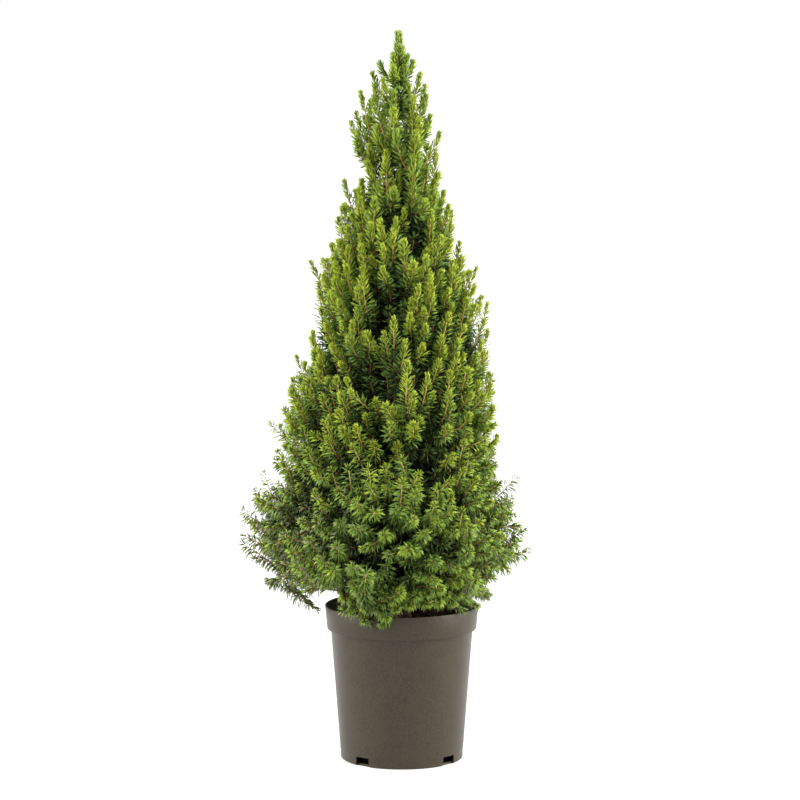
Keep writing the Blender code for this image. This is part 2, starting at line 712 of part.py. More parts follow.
def main():
    for item in list(bpy.data.objects):
        bpy.data.objects.remove(item)
    plant = new_collection("potted_spruce")
    cutters = new_collection("cutters")
    bark = new_material("spruce_bark", (0.150, 0.075, 0.040), 0.85)
    build_pot(plant, cutters)
    build_soil(plant)
    trunk = build_trunk(plant, bark)
    masses = crown_masses()
    boughs, stems = build_limbs(masses, plant, bark)
    build_foliage(masses, trunk, boughs, stems, plant)


main()
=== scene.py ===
"""Dwarf Alberta spruce in its nursery pot: bark, twigs, needles, compost and pot round the frame.

Everything is in metres with +Z up, -Y to the front and +X to the right. From each limb twigs fork
out to shoots, whose tips lie on and inside the crown's outline, and every shoot bears its needles.
These stand for the frame's masses of foliage, one for one.
"""

import math
from collections import namedtuple

import bmesh
import bpy
import numpy as np
from mathutils import Euler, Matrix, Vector, noise
from numpy.linalg import norm


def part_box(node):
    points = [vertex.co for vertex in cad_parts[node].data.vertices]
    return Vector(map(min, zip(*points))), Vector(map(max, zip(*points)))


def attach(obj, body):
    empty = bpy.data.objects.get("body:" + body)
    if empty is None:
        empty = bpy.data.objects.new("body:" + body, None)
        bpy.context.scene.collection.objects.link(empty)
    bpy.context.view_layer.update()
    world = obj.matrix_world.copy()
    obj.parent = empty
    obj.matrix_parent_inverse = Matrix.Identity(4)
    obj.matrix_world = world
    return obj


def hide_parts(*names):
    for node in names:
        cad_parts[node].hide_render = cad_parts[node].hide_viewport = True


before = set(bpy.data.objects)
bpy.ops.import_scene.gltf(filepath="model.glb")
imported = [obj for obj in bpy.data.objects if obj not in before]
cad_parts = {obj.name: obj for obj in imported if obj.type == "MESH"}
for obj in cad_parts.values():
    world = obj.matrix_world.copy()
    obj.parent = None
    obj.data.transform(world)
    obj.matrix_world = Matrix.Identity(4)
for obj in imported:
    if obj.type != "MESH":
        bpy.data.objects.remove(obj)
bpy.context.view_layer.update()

# ---- pot and compost ----
POT_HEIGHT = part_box("pot")[1].z
RIM_RADIUS = 0.095
COLLAR_HEIGHT = 0.029
COLLAR_FOOT_RADIUS = 0.0923
BODY_TOP_RADIUS = 0.0877
BODY_FOOT_RADIUS = 0.0762
LEDGE_HEIGHT = 0.0125
LEDGE_DEPTH = 0.0005
POT_WALL = 0.0016
POT_FLOOR = 0.0025
RIM_ROUNDING = 0.0007
COLLAR_ROUNDING = 0.0009
SHOULDER_DROP = 0.002  # the inside starts to widen this far under the collar's foot
MOUTH_FLARE = 0.001  # and widens by this much over the collar's upper half
LEDGE_START = 0.0008  # the ledge's curve starts this far above it,
LEDGE_EDGE = 0.0001  # has its edge this far in from the body's foot
LEDGE_END = 0.0006  # and ends this far under it
FOOT_ROUNDING = 0.003
FLOOR_ROUNDING = 0.004  # inside, from the floor to the wall
POT_SIDES = 144
NOTCH_COUNT = 4
NOTCH_FIRST_TURN = 50.0
NOTCH_WIDTH = 0.0235
NOTCH_HEIGHT = 0.0115
NOTCH_DEPTH = 0.0052
NOTCH_TOP_SHARE = 0.84
SHARP_ANGLE = 38.0
SOIL_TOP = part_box("soil")[1].z
SOIL_DISH = 0.003
SOIL_CRUMB = 0.0022  # height of the compost's crumbs
SOIL_GRAIN = 170  # crumbs' noise, for each metre
SOIL_RINGS = 34
SOIL_SIDES = 110
SOIL_TO_WALL = 0.0006
PLUG_TO_WALL = 0.003
PLUG_FOOT = 0.018  # the plug of compost starts this high, above the drainage notches
PLUG_SLOPE = 0.003  # from there it falls by this much to its middle,
PLUG_MIDDLE = 0.06  # which has this radius and lies on the pot's floor
CHIP_COUNT = 320  # loose bits of bark on the compost
CHIP_SIZE = (0.0075, 0.0035, 0.0013)
CHIP_SIZE_SPREAD = (0.5, 1.3)
CHIP_RAGGEDNESS = 0.12
CHIP_TILT = 0.35
CHIP_AREA = (0.03, 0.86)  # of the compost, from its middle outwards

# ---- trunk and limbs ----
SEAT_GAP = 0.0003
TRUNK_TOP = 0.8
TRUNK_FOOT_RADIUS = 0.0085
TRUNK_TIP_RADIUS = 0.0012
FLARE_RADIUS = 0.004
FLARE_HEIGHT = 0.016
TRUNK_LEAN = -0.0045
TRUNK_SWAY = 0.0018
TRUNK_CUFF = 0.004  # the trunk starts straight up over this height
TRUNK_RINGS = 60
TRUNK_SIDES = 26
LIMB_BEND = 0.55
LIMB_TO_TRUNK = 0.4
LIMB_STEPS = 20
BOUGH_STEPS = 9  # of a limb's steps, from the trunk outwards
BOUGH_SHARE = 0.45
BOUGH_SIDES = 12
BOUGH_TIP_RADIUS = 0.0017
STEM_TIP_RADIUS = 0.0009
LEADER_MIDDLE = 0.842
LEADER_STEM_TOP = 0.874
BARK_RELIEF = 0.075  # share of a limb's radius
BARK_RING = 0.0022  # from ring to ring along a limb
BARK_NOISE = (2.2, 260)  # scale of the relief round a limb, and for each metre along it
# Name, count of masses, height of the limbs' roots and of the masses' middles, how far out those
# lie as a share of the crown's reach, and the first one's turn.
TIERS = (
    ("skirt", 6, 0.198, 0.236, 0.6, 33),
    ("lower", 6, 0.238, 0.327, 0.6, 4),
    ("middle", 6, 0.318, 0.426, 0.58, 31),
    ("upper", 4, 0.405, 0.518, 0.52, 3),
    ("shoulder", 4, 0.49, 0.604, 0.48, 48),
    ("neck", 3, 0.585, 0.688, 0.46, 32),
    ("top", 3, 0.668, 0.765, 0.42, 88),
)
BOUGH_TIERS = ("skirt", "lower", "middle", "upper")

# ---- crown ----
# Heights, and how far the crown reaches there to the left and to the right.
CROWN_OUTLINE = (
    (0.176, 0.098, 0.094), (0.2, 0.128, 0.1), (0.225, 0.152, 0.121), (0.245, 0.18, 0.146),
    (0.265, 0.198, 0.158), (0.3, 0.197, 0.15), (0.33, 0.183, 0.143), (0.36, 0.17, 0.13),
    (0.4, 0.153, 0.123), (0.44, 0.15, 0.121), (0.475, 0.14, 0.12), (0.505, 0.12, 0.113),
    (0.56, 0.107, 0.104), (0.615, 0.108, 0.084), (0.65, 0.088, 0.07), (0.7, 0.072, 0.058),
    (0.725, 0.053, 0.047), (0.765, 0.062, 0.046), (0.815, 0.052, 0.031), (0.844, 0.037, 0.023),
    (0.857, 0.026, 0.014), (0.872, 0.012, 0.007), (0.896, 0.009, 0.003),
)
CROWN_TOP = 0.896
WIDEST_HEIGHT = 0.265
# Lean of the shoots from upright, in degrees, by height.
SHOOT_LEAN = (
    (0.18, 114), (0.215, 98), (0.25, 80), (0.31, 60),
    (0.39, 38), (0.48, 22), (0.9, 10),
)
LEAN_SPREAD = ((0.2, 20), (0.36, 16), (0.5, 9))  # by height
TURN_SPREAD = 16.0
MOST_LEAN = 165.0
SHOOT_LENGTH = ((0.18, 0.04), (0.66, 0.042), (0.76, 0.05), (0.9, 0.046))  # by height
# How close together the tips grow, by height.
SHOOT_CLOSENESS = ((0.18, 2), (0.205, 1.6), (0.24, 0.85), (0.45, 0.9), (0.6, 1), (0.74, 0.85),
                   (0.84, 0.9), (0.9, 1.3))
INNER_CLOSENESS = ((0.66, 1), (0.76, 0.32))  # of the inner layers' tips to that
# Age of a shoot at its tip, by height: needles darken as it grows.
SHOOT_AGE = ((0.2, 1.2), (0.3, 0.8), (0.42, -0.2), (0.62, -0.5), (0.76, 0.9), (0.9, 1.3))
AGE_SPREAD = (-0.6, 0.9)
# How much of a layer's added age shows, which is partly real age and partly painted shade, and how fast a
# shoot ages from its tip back, by height.
LAYER_AGE_AND_SHADE = ((0.22, 0.8), (0.28, 1.1), (0.36, 1.6), (0.71, 1.7), (0.8, 0.35))
AGEING = ((0.24, 0.7), (0.36, 1), (0.68, 1), (0.8, 0.35))

# One row for each layer of shoots: how many, their share of the crown's reach, how deep their tips
# lie under that, how much that varies, needles on each, how much wider those are, and how much older.
# The added age is partly real age and partly painted shade: it darkens the inner layers' needles,
# and the deep and innermost layers are wide dark needles set as painted shade between the shoots.
LAYERS = (
    ("outer", 800, 1, 0, 0.009, 92, 1, 0),
    ("inner", 640, 1, 0.022, 0.006, 64, 1.3, 2),
    ("deep", 380, 0.74, 0.012, 0.008, 46, 2.2, 4),
    ("shade_core", 300, 0.42, 0, 0.008, 36, 3, 5.2),
)
CANDIDATES_PER_SHOOT = 15
LAYER_TOP = 0.016  # the highest tips of a layer lie this far under the crown's top,
LAYER_FALL = 0.1  # and lower by this times the share of the reach that it lacks
OVER_RIM = 0.006  # tips over the pot keep this far above its rim,
BESIDE_RIM = 0.004  # and others this far outside it
LEAST_REACH = 0.003
LENGTH_SPREAD = (0.8, 1.2)
# Lowest tips by turn in degrees: shoots hang lowest over the rim in front, left of the middle.
LOWEST_TIP = (
    (-180, 0.226), (-155, 0.222), (-142, 0.2), (-132, 0.183), (-106, 0.179),
    (-94, 0.202), (-78, 0.209), (-58, 0.208), (-42, 0.202), (-20, 0.193),
    (20, 0.19), (90, 0.19), (115, 0.206), (135, 0.224), (180, 0.226),
)
BASE_DROP = 0.003  # a shoot's straight part starts no lower than this under the lowest tips
# Over the rim's left end the crown is open: how far out, how high, and how much it rises to the front.
OPENING_REACH = (-0.101, -0.079)
OPENING_HEIGHT = (0.191, 0.209)
OPENING_SLOPE = 0.11
# The crown's edge is airy: a few shoots reach further out than the rest.
AIRY_DEPTH = 0.006  # least depth of the airy edge
AIRY_LEFT = 0.046  # how much deeper it gets low on the left side
AIRY_RIGHT = 0.02
AIRY_MIDDLE = 0.288  # height where it is deepest
AIRY_SPAN = 0.066
AIRY_CROWDING = (1.4, 1)  # shape of the spread of the tips over that depth
WEATHERING_FOR_AIR = 20.0  # for each metre of the airy edge's depth
BARE_HEIGHT = 0.212  # height where the low twigs are barest
BARE_SPAN = 0.042
BARE_SHARE = 0.65  # of the needles that the barest twigs lack
BARE_RIGHT = 0.5  # how bare the right side is to the left one
BARE_INSIDE = 0.36  # where it is barer than this, only outer shoots grow
BARE_PALING = 0.6  # share of their age that the barest twigs' needles don't show
BARE_THINNING = 0.42  # share of their width that those needles lack
TWIG_BARING = 1.6  # how much faster forking twigs lose their needles
WEATHERED_SHARE = 0.6  # of the needles on the low sides, where the crown is bare or airy
HOLLOW_SCALE = 17.0  # of the noise that lays out the hollows, for each metre
# Noise above this makes a hollow, by height.
HOLLOW_LEVEL = ((0.22, 0.32), (0.28, 0.26), (0.34, 0.14), (0.45, 0.21), (0.69, 0.19), (0.75, 0.6))
LONE_AGE = 0.2  # how much older the lone shoots are
# Shoots that stand out alone, in millimetres: height of the tip, its reach (left is minus), depth
# from the middle (back is plus), lean from upright in degrees, length and count of needles.
LONE_SHOOTS = (
    (893, -5.7, -2, 1, 46, 130), (893, -2.1, 2, 0, 46, 130), (876, -6.5, 4, 3, 44, 120),
    (874, 1.2, 3, 2, 44, 120), (866, -11, -4, 5, 44, 120), (865, 6.5, -3, 9, 42, 100),
    (857, -26.5, 2, 12, 44, 100), (858, 12.8, 4, 10, 44, 100), (852, -10, -14, 1, 46, 120),
    (843, 22, -4, 9, 46, 120), (844, -35, -4, 13, 46, 120), (828, 28, 4, 11, 46, 120),
    (823, -9.6, -26, 2, 50, 120), (817, 29.5, -8, 13, 46, 120), (814, -34, -18, 12, 46, 120),
    (796, -55, -4, 15, 46, 110), (792, 34.5, -4, 14, 48, 120), (789, 22, -30, 6, 50, 120),
    (779, -31, -30, 6, 50, 120), (775, -6.3, -42, 2, 50, 120), (821, -50, -4, 16, 46, 90),
    (784, -61.5, 4, 18, 46, 90), (772, 45.5, -4, 18, 46, 90), (713, -70, 0, 16, 46, 80),
    (615, -110.6, -6, 24, 50, 80), (606, 90.5, 10, 16, 52, 80), (565, 104, -16, 10, 50, 80),
    (529, 105, 4, 14, 52, 80), (497, -129.1, 10, 20, 50, 80), (418, -161.1, -8, 44, 50, 60),
    (349, 141.9, 8, 44, 50, 80), (357, -170, -2, 16, 46, 60), (334, -181, 6, 30, 46, 56),
    (311, -195.7, -10, 46, 50, 56), (299, -194.4, 12, 60, 46, 50), (282, -194.4, -28, 62, 52, 56),
    (268, -198.1, 4, 58, 70, 56), (261, 156.7, -12, 66, 52, 76), (223, -166.1, -14, 80, 50, 70),
    (250, -183, -6, 82, 50, 44), (209, -144, 10, 108, 46, 50), (203, -130, -6, 118, 46, 46),
    (189, -112, 4, -128, 44, 50), (186, -104, -12, -122, 42, 44), (205, 108, -18, 112, 46, 84),
    (199, 104, 6, 122, 46, 84), (203, 105, 30, 116, 46, 84), (196, 92.5, -38, 110, 46, 84),
    (195, 76, -64, 108, 46, 84),
)

# ---- twigs ----
SHOOTS_PER_FORK = 2.8
FORK_BEHIND = 0.026  # a fork lies this far behind the straight part of its shoots,
FORK_PULL = (0.05, 0.3)  # and this share of the way in to the mass's middle
HUBS = 14  # places on a limb where twigs can leave it
FIRST_HUB = 0.35  # share of the limb's length
HUB_BEHIND = 0.018  # a twig leaves its limb from behind its fork,
HUB_RISE = 0.3  # and so much lower for each metre outwards
TWIG_BEND = 0.45  # share of a twig's length that runs straight on into its fork
SHOOT_BEND = 0.7  # most of the way from fork to tip that is straight
BEND_COST = 0.1  # added to a fork's distance for how far a shoot must bend from it
NEAR_COST = 0.2  # for each metre that a fork is too near
PLACES_TO_TEST = 9  # along a shoot, against the opening
TWIG_RADII = (0.0016, 0.001)  # of a forking twig, from limb to fork
SHOOT_RADII = (0.0008, 0.00055)  # of a shoot, from fork to tip
TWIG_SIDES = 4
SHOOT_STEPS = 6
TWIG_STEPS = 5
LIMB_SIDES = 8
SHOOT_BARE_TIP = 0.004  # a shoot's twig ends this far short of its tip
SHOOT_TONE = ((0, 0), (0.014, 0.5), (0.024, 1.7), (0.036, 3))  # by distance behind the tip
TWIG_AGEING = 0.6  # tones for each step of age
OLD_TWIG = 3  # place of the brown tone
TWIG_NEEDLES = 44  # on a forking twig
TWIG_NEEDLE_WIDTH = 2.0  # to the outer ones'
TWIG_AGE = 3.6

# ---- needles ----
ODD_WAY = (0.31, 0.87, 0.38)  # a direction that no twig or needle has
SPRAY_LENGTH = 0.078  # longest stretch of a twig that bears needles
YOUNG_CROWDING = 1.65  # power that crowds the needles towards the tip
RIPE_CROWDING = 1.2
FOOT_SPREAD = 0.0006  # along the twig
GOLDEN_TURN = math.pi * (3 - math.sqrt(5))
TURN_JITTER = 0.25
NEEDLE_WIDTH = 0.00138
NEEDLE_WIDTH_SPREAD = (0.85, 1.15)
NEEDLE_LENGTH_SPREAD = (0.84, 1.08)
NEEDLE_THICKNESS = 0.5  # share of its width
NEEDLE_SKEW = 0.18  # how far its two side corners lie from its middle, one to each end
NEEDLE_BOW = 0.035  # how far its middle stands out from a straight line
NEEDLE_ANGLE_SPREAD = ((0, 9), (0.012, 7))
NEEDLE_AGE_SPREAD = 0.5
NEEDLE_CLEARANCE = 0.0012  # to the pot
TUFT_STRETCH = ((0.56, 1), (0.74, 1.7))  # how much longer the young tufts are, by height
# By height, how much longer the needles and stouter the twigs are, and how many more needles grow.
TUFT_GIRTH = ((0.36, 1), (0.46, 1.08), (0.56, 1.08), (0.74, 1.16), (0.85, 1.12), (0.885, 1))
FULLNESS = ((0.6, 1), (0.76, 1.45))
# Young shoots end in a blunt tuft and open further back. On ripe shoots the needles are long and
# spread right from the tip. Both by distance behind the tip, in degrees, metres and steps of age.
YOUNG_ANGLE = ((0, 24), (0.003, 26), (0.01, 28), (0.015, 42), (0.023, 57), (0.045, 65))
YOUNG_LENGTH = ((0, 0.006), (0.003, 0.008), (0.009, 0.0098), (0.018, 0.012), (0.03, 0.0132))
YOUNG_AGE = ((0, 0), (0.01, 0.4), (0.016, 1.5), (0.025, 2.7), (0.038, 3.8), (0.07, 4.7))
RIPE_ANGLE = ((0, 34), (0.003, 50), (0.012, 66), (0.03, 72))
RIPE_LENGTH = ((0, 0.0062), (0.003, 0.0106), (0.01, 0.014), (0.05, 0.0142))
RIPE_AGE = ((0, 1.2), (0.003, 1.8), (0.01, 2.2), (0.03, 3), (0.07, 4))
RIPENESS = ((0.24, 1), (0.34, 0.85), (0.44, 0.4), (0.54, 0))  # by height
RIPENESS_SPREAD = 0.22
NEEDLE_DROOP = ((0.2, 0.65), (0.32, 0.55), (0.44, 0.15), (0.52, 0))  # by height
DROOP_START = 0.006  # full from this far behind the tip
DROOP_AT_MIDDLE = 0.4  # share of it that a needle's middle has
OLDEST_TONE = 6  # places in the list of tones
# The pale band is a stomatal line on one side of a needle that also serves as a painted highlight.
BAND_TONE = 7
WEATHERED_TONE = 8
BANDED_TONES = (3, 5)  # tones whose needles may show a pale band
BANDED_SHARE = 0.08

# ---- studio ----
HORIZON = ((0.1, 1), (0.26, 0.26))  # grey of the surroundings, by height
FLOOR_REACH = 90.0
FLOOR_GREY = 0.32
FLOOR_GLOW = 0.78
# Name, where it shines from, power and width in degrees.
SUNS = (
    ("left", (-1, -0.12, 0.5), 5, 55),
    ("right", (1, -0.1, 0.42), 6.4, 55),
    ("top", (-0.15, -0.2, 1), 0.9, 60),
)
CAMERA_PLACE = (-0.0022, -4, 0.888)
CAMERA_DIP = 0.11  # radians below level
CAMERA_LENS = 147.4

SEED = 23


# ---- shape rules ----

def by(table, value):
    """A value read from a table of (place, value) rows."""
    places, values = np.array(table).T
    return np.interp(value, places, values)


def unit(vectors):
    """Each row of an array made one long."""
    return vectors / norm(vectors, axis=1)[:, None]


def points_at(places, known, path):
    """Points of a path at places between its known ones."""
    return np.stack([np.interp(places, known, path[:, axis]) for axis in range(3)], axis=1)


def turns_round(count):
    return 2 * math.pi * np.arange(count) / count


def crown_reach(height, turn):
    """How far the crown reaches from the trunk's foot line, at a height and a turn in radians."""
    heights, left, right = np.array(CROWN_OUTLINE).T
    to_left = np.interp(height, heights, left)
    to_right = np.interp(height, heights, right)
    return (to_left + to_right) / 2 + np.cos(turn) * (to_right - to_left) / 2


def trunk_middle(height):
    """The trunk's middle line at a height."""
    share = (height - SOIL_TOP) / (TRUNK_TOP - SOIL_TOP)
    along = TRUNK_LEAN * share ** 2 + TRUNK_SWAY * math.sin(2 * math.pi * share)
    across = TRUNK_SWAY * math.sin(3 * math.pi * share) * share
    return np.array((along, across, height))


def trunk_radius(height):
    share = (height - SOIL_TOP) / (TRUNK_TOP - SOIL_TOP)
    taper = TRUNK_FOOT_RADIUS + (TRUNK_TIP_RADIUS - TRUNK_FOOT_RADIUS) * share
    return taper + FLARE_RADIUS * math.exp(-(height - SOIL_TOP) / FLARE_HEIGHT)


def limb_path(root_height, head):
    """Points from the trunk's surface to a mass's middle, flat at first and then rising."""
    root = trunk_middle(root_height)
    run = Vector((head[0] - root[0], head[1] - root[1], 0))
    rise = head[2] - root[2]
    slope = math.atan2(rise * (1 - LIMB_BEND), run.length * (1 + LIMB_BEND))
    radius = trunk_radius(root_height)
    start = radius + SEAT_GAP + radius * LIMB_TO_TRUNK * math.sin(slope)
    share = np.linspace(0, 1, LIMB_STEPS + 1)[:, None]
    out = start + (run.length - start) * ((1 + LIMB_BEND) * share - LIMB_BEND * share ** 2)
    up = rise * ((1 - LIMB_BEND) * share + LIMB_BEND * share ** 2)
    return root + np.array(run.normalized()) * out + np.array((0, 0, 1)) * up


# A mass of foliage: its name, its tier, the height of its limb's root and its own middle.
Mass = namedtuple("Mass", "name tier root_height head")


def crown_masses():
    masses = []
    for tier, count, root_height, head_height, share, first_turn in TIERS:
        for number in range(count):
            turn = math.radians(first_turn + 360.0 * number / count)
            out = crown_reach(head_height, turn) * share
            middle = trunk_middle(min(head_height, TRUNK_TOP))
            head = (middle[0] + out * math.cos(turn), middle[1] + out * math.sin(turn), head_height)
            masses.append(Mass(f"{tier}_foliage_{number + 1}", tier, root_height, np.array(head)))
    leader = trunk_middle(TRUNK_TOP) + np.array((0, 0, LEADER_MIDDLE - TRUNK_TOP))
    return masses + [Mass("leader_foliage", "leader", TRUNK_TOP, leader)]


def limb_of(mass):
    """Path and radii of the whole limb that carries a mass, from the trunk to the mass's middle."""
    if mass.tier == "leader":
        rise = np.linspace(SEAT_GAP, LEADER_STEM_TOP - TRUNK_TOP, LIMB_STEPS + 1)[:, None]
        path = trunk_middle(TRUNK_TOP) + rise * np.array((0, 0, 1))
        return path, np.linspace(TRUNK_TIP_RADIUS, STEM_TIP_RADIUS, LIMB_STEPS + 1)
    foot = trunk_radius(mass.root_height) * LIMB_TO_TRUNK
    radii = (foot, min(foot, BOUGH_TIP_RADIUS), STEM_TIP_RADIUS)
    shares = np.linspace(0, 1, LIMB_STEPS + 1)
    return limb_path(mass.root_height, mass.head), np.interp(shares, (0.0, BOUGH_SHARE, 1.0), radii)


# ---- where the shoots grow ----

# Tip, direction there, length of the straight part, age at the tip, count and width of its needles,
# and how far it has opened, from 0 for a young shoot to 1 for a ripe one.
Shoot = namedtuple("Shoot", "tip direction length age needles width ripeness")


def direction_of(lean, turn):
    """Unit vector that leans from upright towards a turn, both in degrees."""
    lean, turn = math.radians(lean), math.radians(turn)
    return np.array((math.sin(lean) * math.cos(turn), math.sin(lean) * math.sin(turn), math.cos(lean)))


def on_low_sides(height, turn, middle, span, left, right):
    """A value for the left side and one for the right, fading to 0 in front, behind, above and below."""
    low = np.exp(-((height - middle) / span) ** 2)
    to_right = np.cos(turn)
    return low * (left * np.clip(-to_right, 0, 1) ** 2 + right * np.clip(to_right, 0, 1) ** 2)


def airiness(height, turn):
    """How much of the reach is left to a few thin shoots: most on the low left side."""
    return AIRY_DEPTH + on_low_sides(height, turn, AIRY_MIDDLE, AIRY_SPAN, AIRY_LEFT, AIRY_RIGHT)


def bareness(height, turn):
    """1 on the low left side, where thin twigs bear few needles, less on the right, 0 elsewhere."""
    return on_low_sides(height, turn, BARE_HEIGHT, BARE_SPAN, 1.0, BARE_RIGHT)


def weathering(feet):
    """How greyish the needles are: 1 and more on the low left side, less on the right, 0 elsewhere."""
    height, turn = feet[:, 2], np.arctan2(feet[:, 1], feet[:, 0])
    return bareness(height, turn) + (airiness(height, turn) - AIRY_DEPTH) * WEATHERING_FOR_AIR


def hollow(tips):
    """Which tips lie in the crown's hollows, where only the inner shoots show."""
    depths = np.array([noise.noise(Vector(tip) * HOLLOW_SCALE) for tip in tips])
    return depths > by(HOLLOW_LEVEL, tips[:, 2])


def spread_out(points, count, closeness, first):
    """Indices of points that lie far apart, each one the farthest from all the earlier ones."""
    spacing = np.full(len(points), CROWN_TOP)
    for point in first:
        spacing = np.minimum(spacing, norm(points - point, axis=1) * closeness)
    picks = []
    for _ in range(count):
        picks.append(int(np.argmax(spacing)))
        spacing = np.minimum(spacing, norm(points - points[picks[-1]], axis=1) * closeness)
    return picks


def place_lone_shoots():
    shoots = []
    for height, reach, back, lean, length, needles in LONE_SHOOTS:
        tip = np.array((reach, back, height)) / 1000
        direction = direction_of(lean, 180.0 if reach < 0 else 0.0)
        age = by(SHOOT_AGE, tip[2]) + LONE_AGE
        shoots.append(Shoot(tip, direction, length / 1000, age, needles, 1.0, by(RIPENESS, tip[2])))
    return shoots


def draw_tips(layer, count, share, depth, spread, random):
    """Places under the crown's outline where one layer's tips may lie."""
    drawn = count * CANDIDATES_PER_SHOOT
    top = CROWN_TOP - LAYER_TOP - depth - LAYER_FALL * (1 - share)
    heights = random.uniform(CROWN_OUTLINE[0][0], top, drawn)
    turns = random.uniform(-math.pi, math.pi, drawn)
    reach = crown_reach(heights, turns) * share - depth
    reach -= np.abs(random.normal(0, spread, drawn))
    reach -= airiness(heights, turns) * random.beta(*AIRY_CROWDING, drawn)
    roomy = random.uniform(0, crown_reach(WIDEST_HEIGHT, math.pi), drawn) < reach
    clear = (heights > POT_HEIGHT + OVER_RIM) | (reach > RIM_RADIUS + BESIDE_RIM)
    hangs = heights > by(LOWEST_TIP, np.degrees(turns))
    full = (layer == "outer") | (bareness(heights, turns) < BARE_INSIDE)
    kept = roomy & clear & hangs & full & (reach > LEAST_REACH)
    tips = np.stack((reach * np.cos(turns), reach * np.sin(turns), heights), axis=1)[kept]
    tips = tips[~in_opening(tips)]
    return tips[~hollow(tips)] if layer == "outer" else tips


def shoot_at(tip, needles, width, age, random):
    """A shoot of one layer, leaning and ageing as shoots do at that height; its layer's added age darkens
    it, partly as painted shade.
    """
    height = tip[2]
    own_turn = math.atan2(tip[1], tip[0])
    lean = by(SHOOT_LEAN, height) + random.normal(0, by(LEAN_SPREAD, height))
    turn = math.degrees(own_turn) + random.normal(0, TURN_SPREAD)
    length = by(SHOOT_LENGTH, height) * random.uniform(*LENGTH_SPREAD)
    steepest = (height - by(LOWEST_TIP, math.degrees(own_turn)) + BASE_DROP) / length
    lean = max(lean, math.degrees(math.acos(min(max(steepest, 0), 1))))
    direction = direction_of(min(lean, MOST_LEAN), turn)
    ripe = by(RIPENESS, height) + random.normal(0, RIPENESS_SPREAD) + age / 2
    # A layer's added age darkens the needles, partly as real age and partly as painted shade inside the
    # crown.
    start_age_and_shade = age * by(LAYER_AGE_AND_SHADE, height) + by(SHOOT_AGE, height)
    bare = bareness(height, own_turn)
    needled = round(needles * (1 - BARE_SHARE * bare) * by(FULLNESS, height))
    start_age_and_shade *= 1 - BARE_PALING * bare
    slim = width * (1 - BARE_THINNING * bare)
    return Shoot(tip, direction, length, start_age_and_shade, needled, slim, min(max(ripe, 0), 1))


def place_shoots(random):
    shoots = place_lone_shoots()
    lone_tips = [shoot.tip for shoot in shoots]
    for layer, count, share, depth, spread, needles, width, age in LAYERS:
        tips = draw_tips(layer, count, share, depth, spread, random)
        closeness = by(SHOOT_CLOSENESS, tips[:, 2])
        first = lone_tips
        if layer != "outer":
            closeness = closeness * by(INNER_CLOSENESS, tips[:, 2])
            first = []
        picks = spread_out(tips, count, closeness, first)
        shoots += [shoot_at(tips[pick], needles, width, age, random) for pick in picks]
    return shoots


def mass_of(shoot, heads):
    """The mass that a shoot belongs to, judged at the middle of its length."""
    middle = shoot.tip - shoot.direction * shoot.length / 2
    return int(np.argmin(norm(heads - middle, axis=1)))


class Curve:
    """A smooth stretch of twig from its root, by way of a bend, to its tip."""

    def __init__(self, root, bend, tip):
        self.root, self.bend, self.tip = root, bend, tip
        self.length = norm(bend - root) + norm(tip - bend)

    def at(self, share):
        """Points and directions at shares of the way from root to tip."""
        share = np.asarray(share)[:, None]
        rest = 1 - share
        points = rest ** 2 * self.root + 2 * share * rest * self.bend + share ** 2 * self.tip
        along = rest * (self.bend - self.root) + share * (self.tip - self.bend)
        return points, unit(along)


def grow_forks(mass, shoots, random):
    """Forks among one mass's shoots, and the twigs that reach them from the mass's limb."""
    path, _ = limb_of(mass)
    shares = np.linspace(FIRST_HUB, 1.0, HUBS)
    hubs = points_at(shares, np.linspace(0, 1, len(path)), path)
    bases = np.array([shoot.tip - shoot.direction * (shoot.length + FORK_BEHIND) for shoot in shoots])
    forks = []
    twigs = []
    for index in spread_out(bases, max(1, round(len(shoots) / SHOOTS_PER_FORK)), 1.0, []):
        direction = shoots[index].direction
        fork = bases[index] + (hubs[-1] - bases[index]) * random.uniform(*FORK_PULL)
        below = fork - direction * HUB_BEHIND
        below[2] -= HUB_RISE * norm(fork[:2] - hubs[-1][:2])
        hub = hubs[np.argmin(norm(hubs - below, axis=1))]
        bend = fork - direction * norm(fork - hub) * TWIG_BEND
        bend[2] = max(bend[2], min(hub[2], fork[2]))
        forks.append(fork)
        twigs.append(Curve(hub, bend, fork))
    return np.array(forks), twigs


def grow_mass(mass, shoots, random):
    """One mass's shoots, each with its curve from the best fork, and the twigs that carry them."""
    forks, twigs = grow_forks(mass, shoots, random)
    carrying = set()
    grown = []
    for shoot in shoots:
        away = shoot.tip - forks
        distance = norm(away, axis=1)
        straight = (away @ shoot.direction) / np.maximum(distance, 1e-6)
        cost = distance + BEND_COST * (1 - straight)
        cost = cost + NEAR_COST * np.clip(shoot.length - distance, 0, 1)
        nearest = int(np.argmin(cost))
        fork = forks[nearest]
        bend = shoot.direction * min(shoot.length, norm(shoot.tip - fork) * SHOOT_BEND)
        curve = Curve(fork, shoot.tip - bend, shoot.tip)
        if not in_opening(curve.at(np.linspace(0, 1, PLACES_TO_TEST))[0]).any():
            grown.append((shoot, curve))
            carrying.add(nearest)
    return [twigs[number] for number in sorted(carrying)], grown


# ---- needles ----

def crosswise(along):
    """Two unit vectors square to each direction and to each other."""
    side = unit(np.cross(along, ODD_WAY))
    return side, np.cross(along, side)


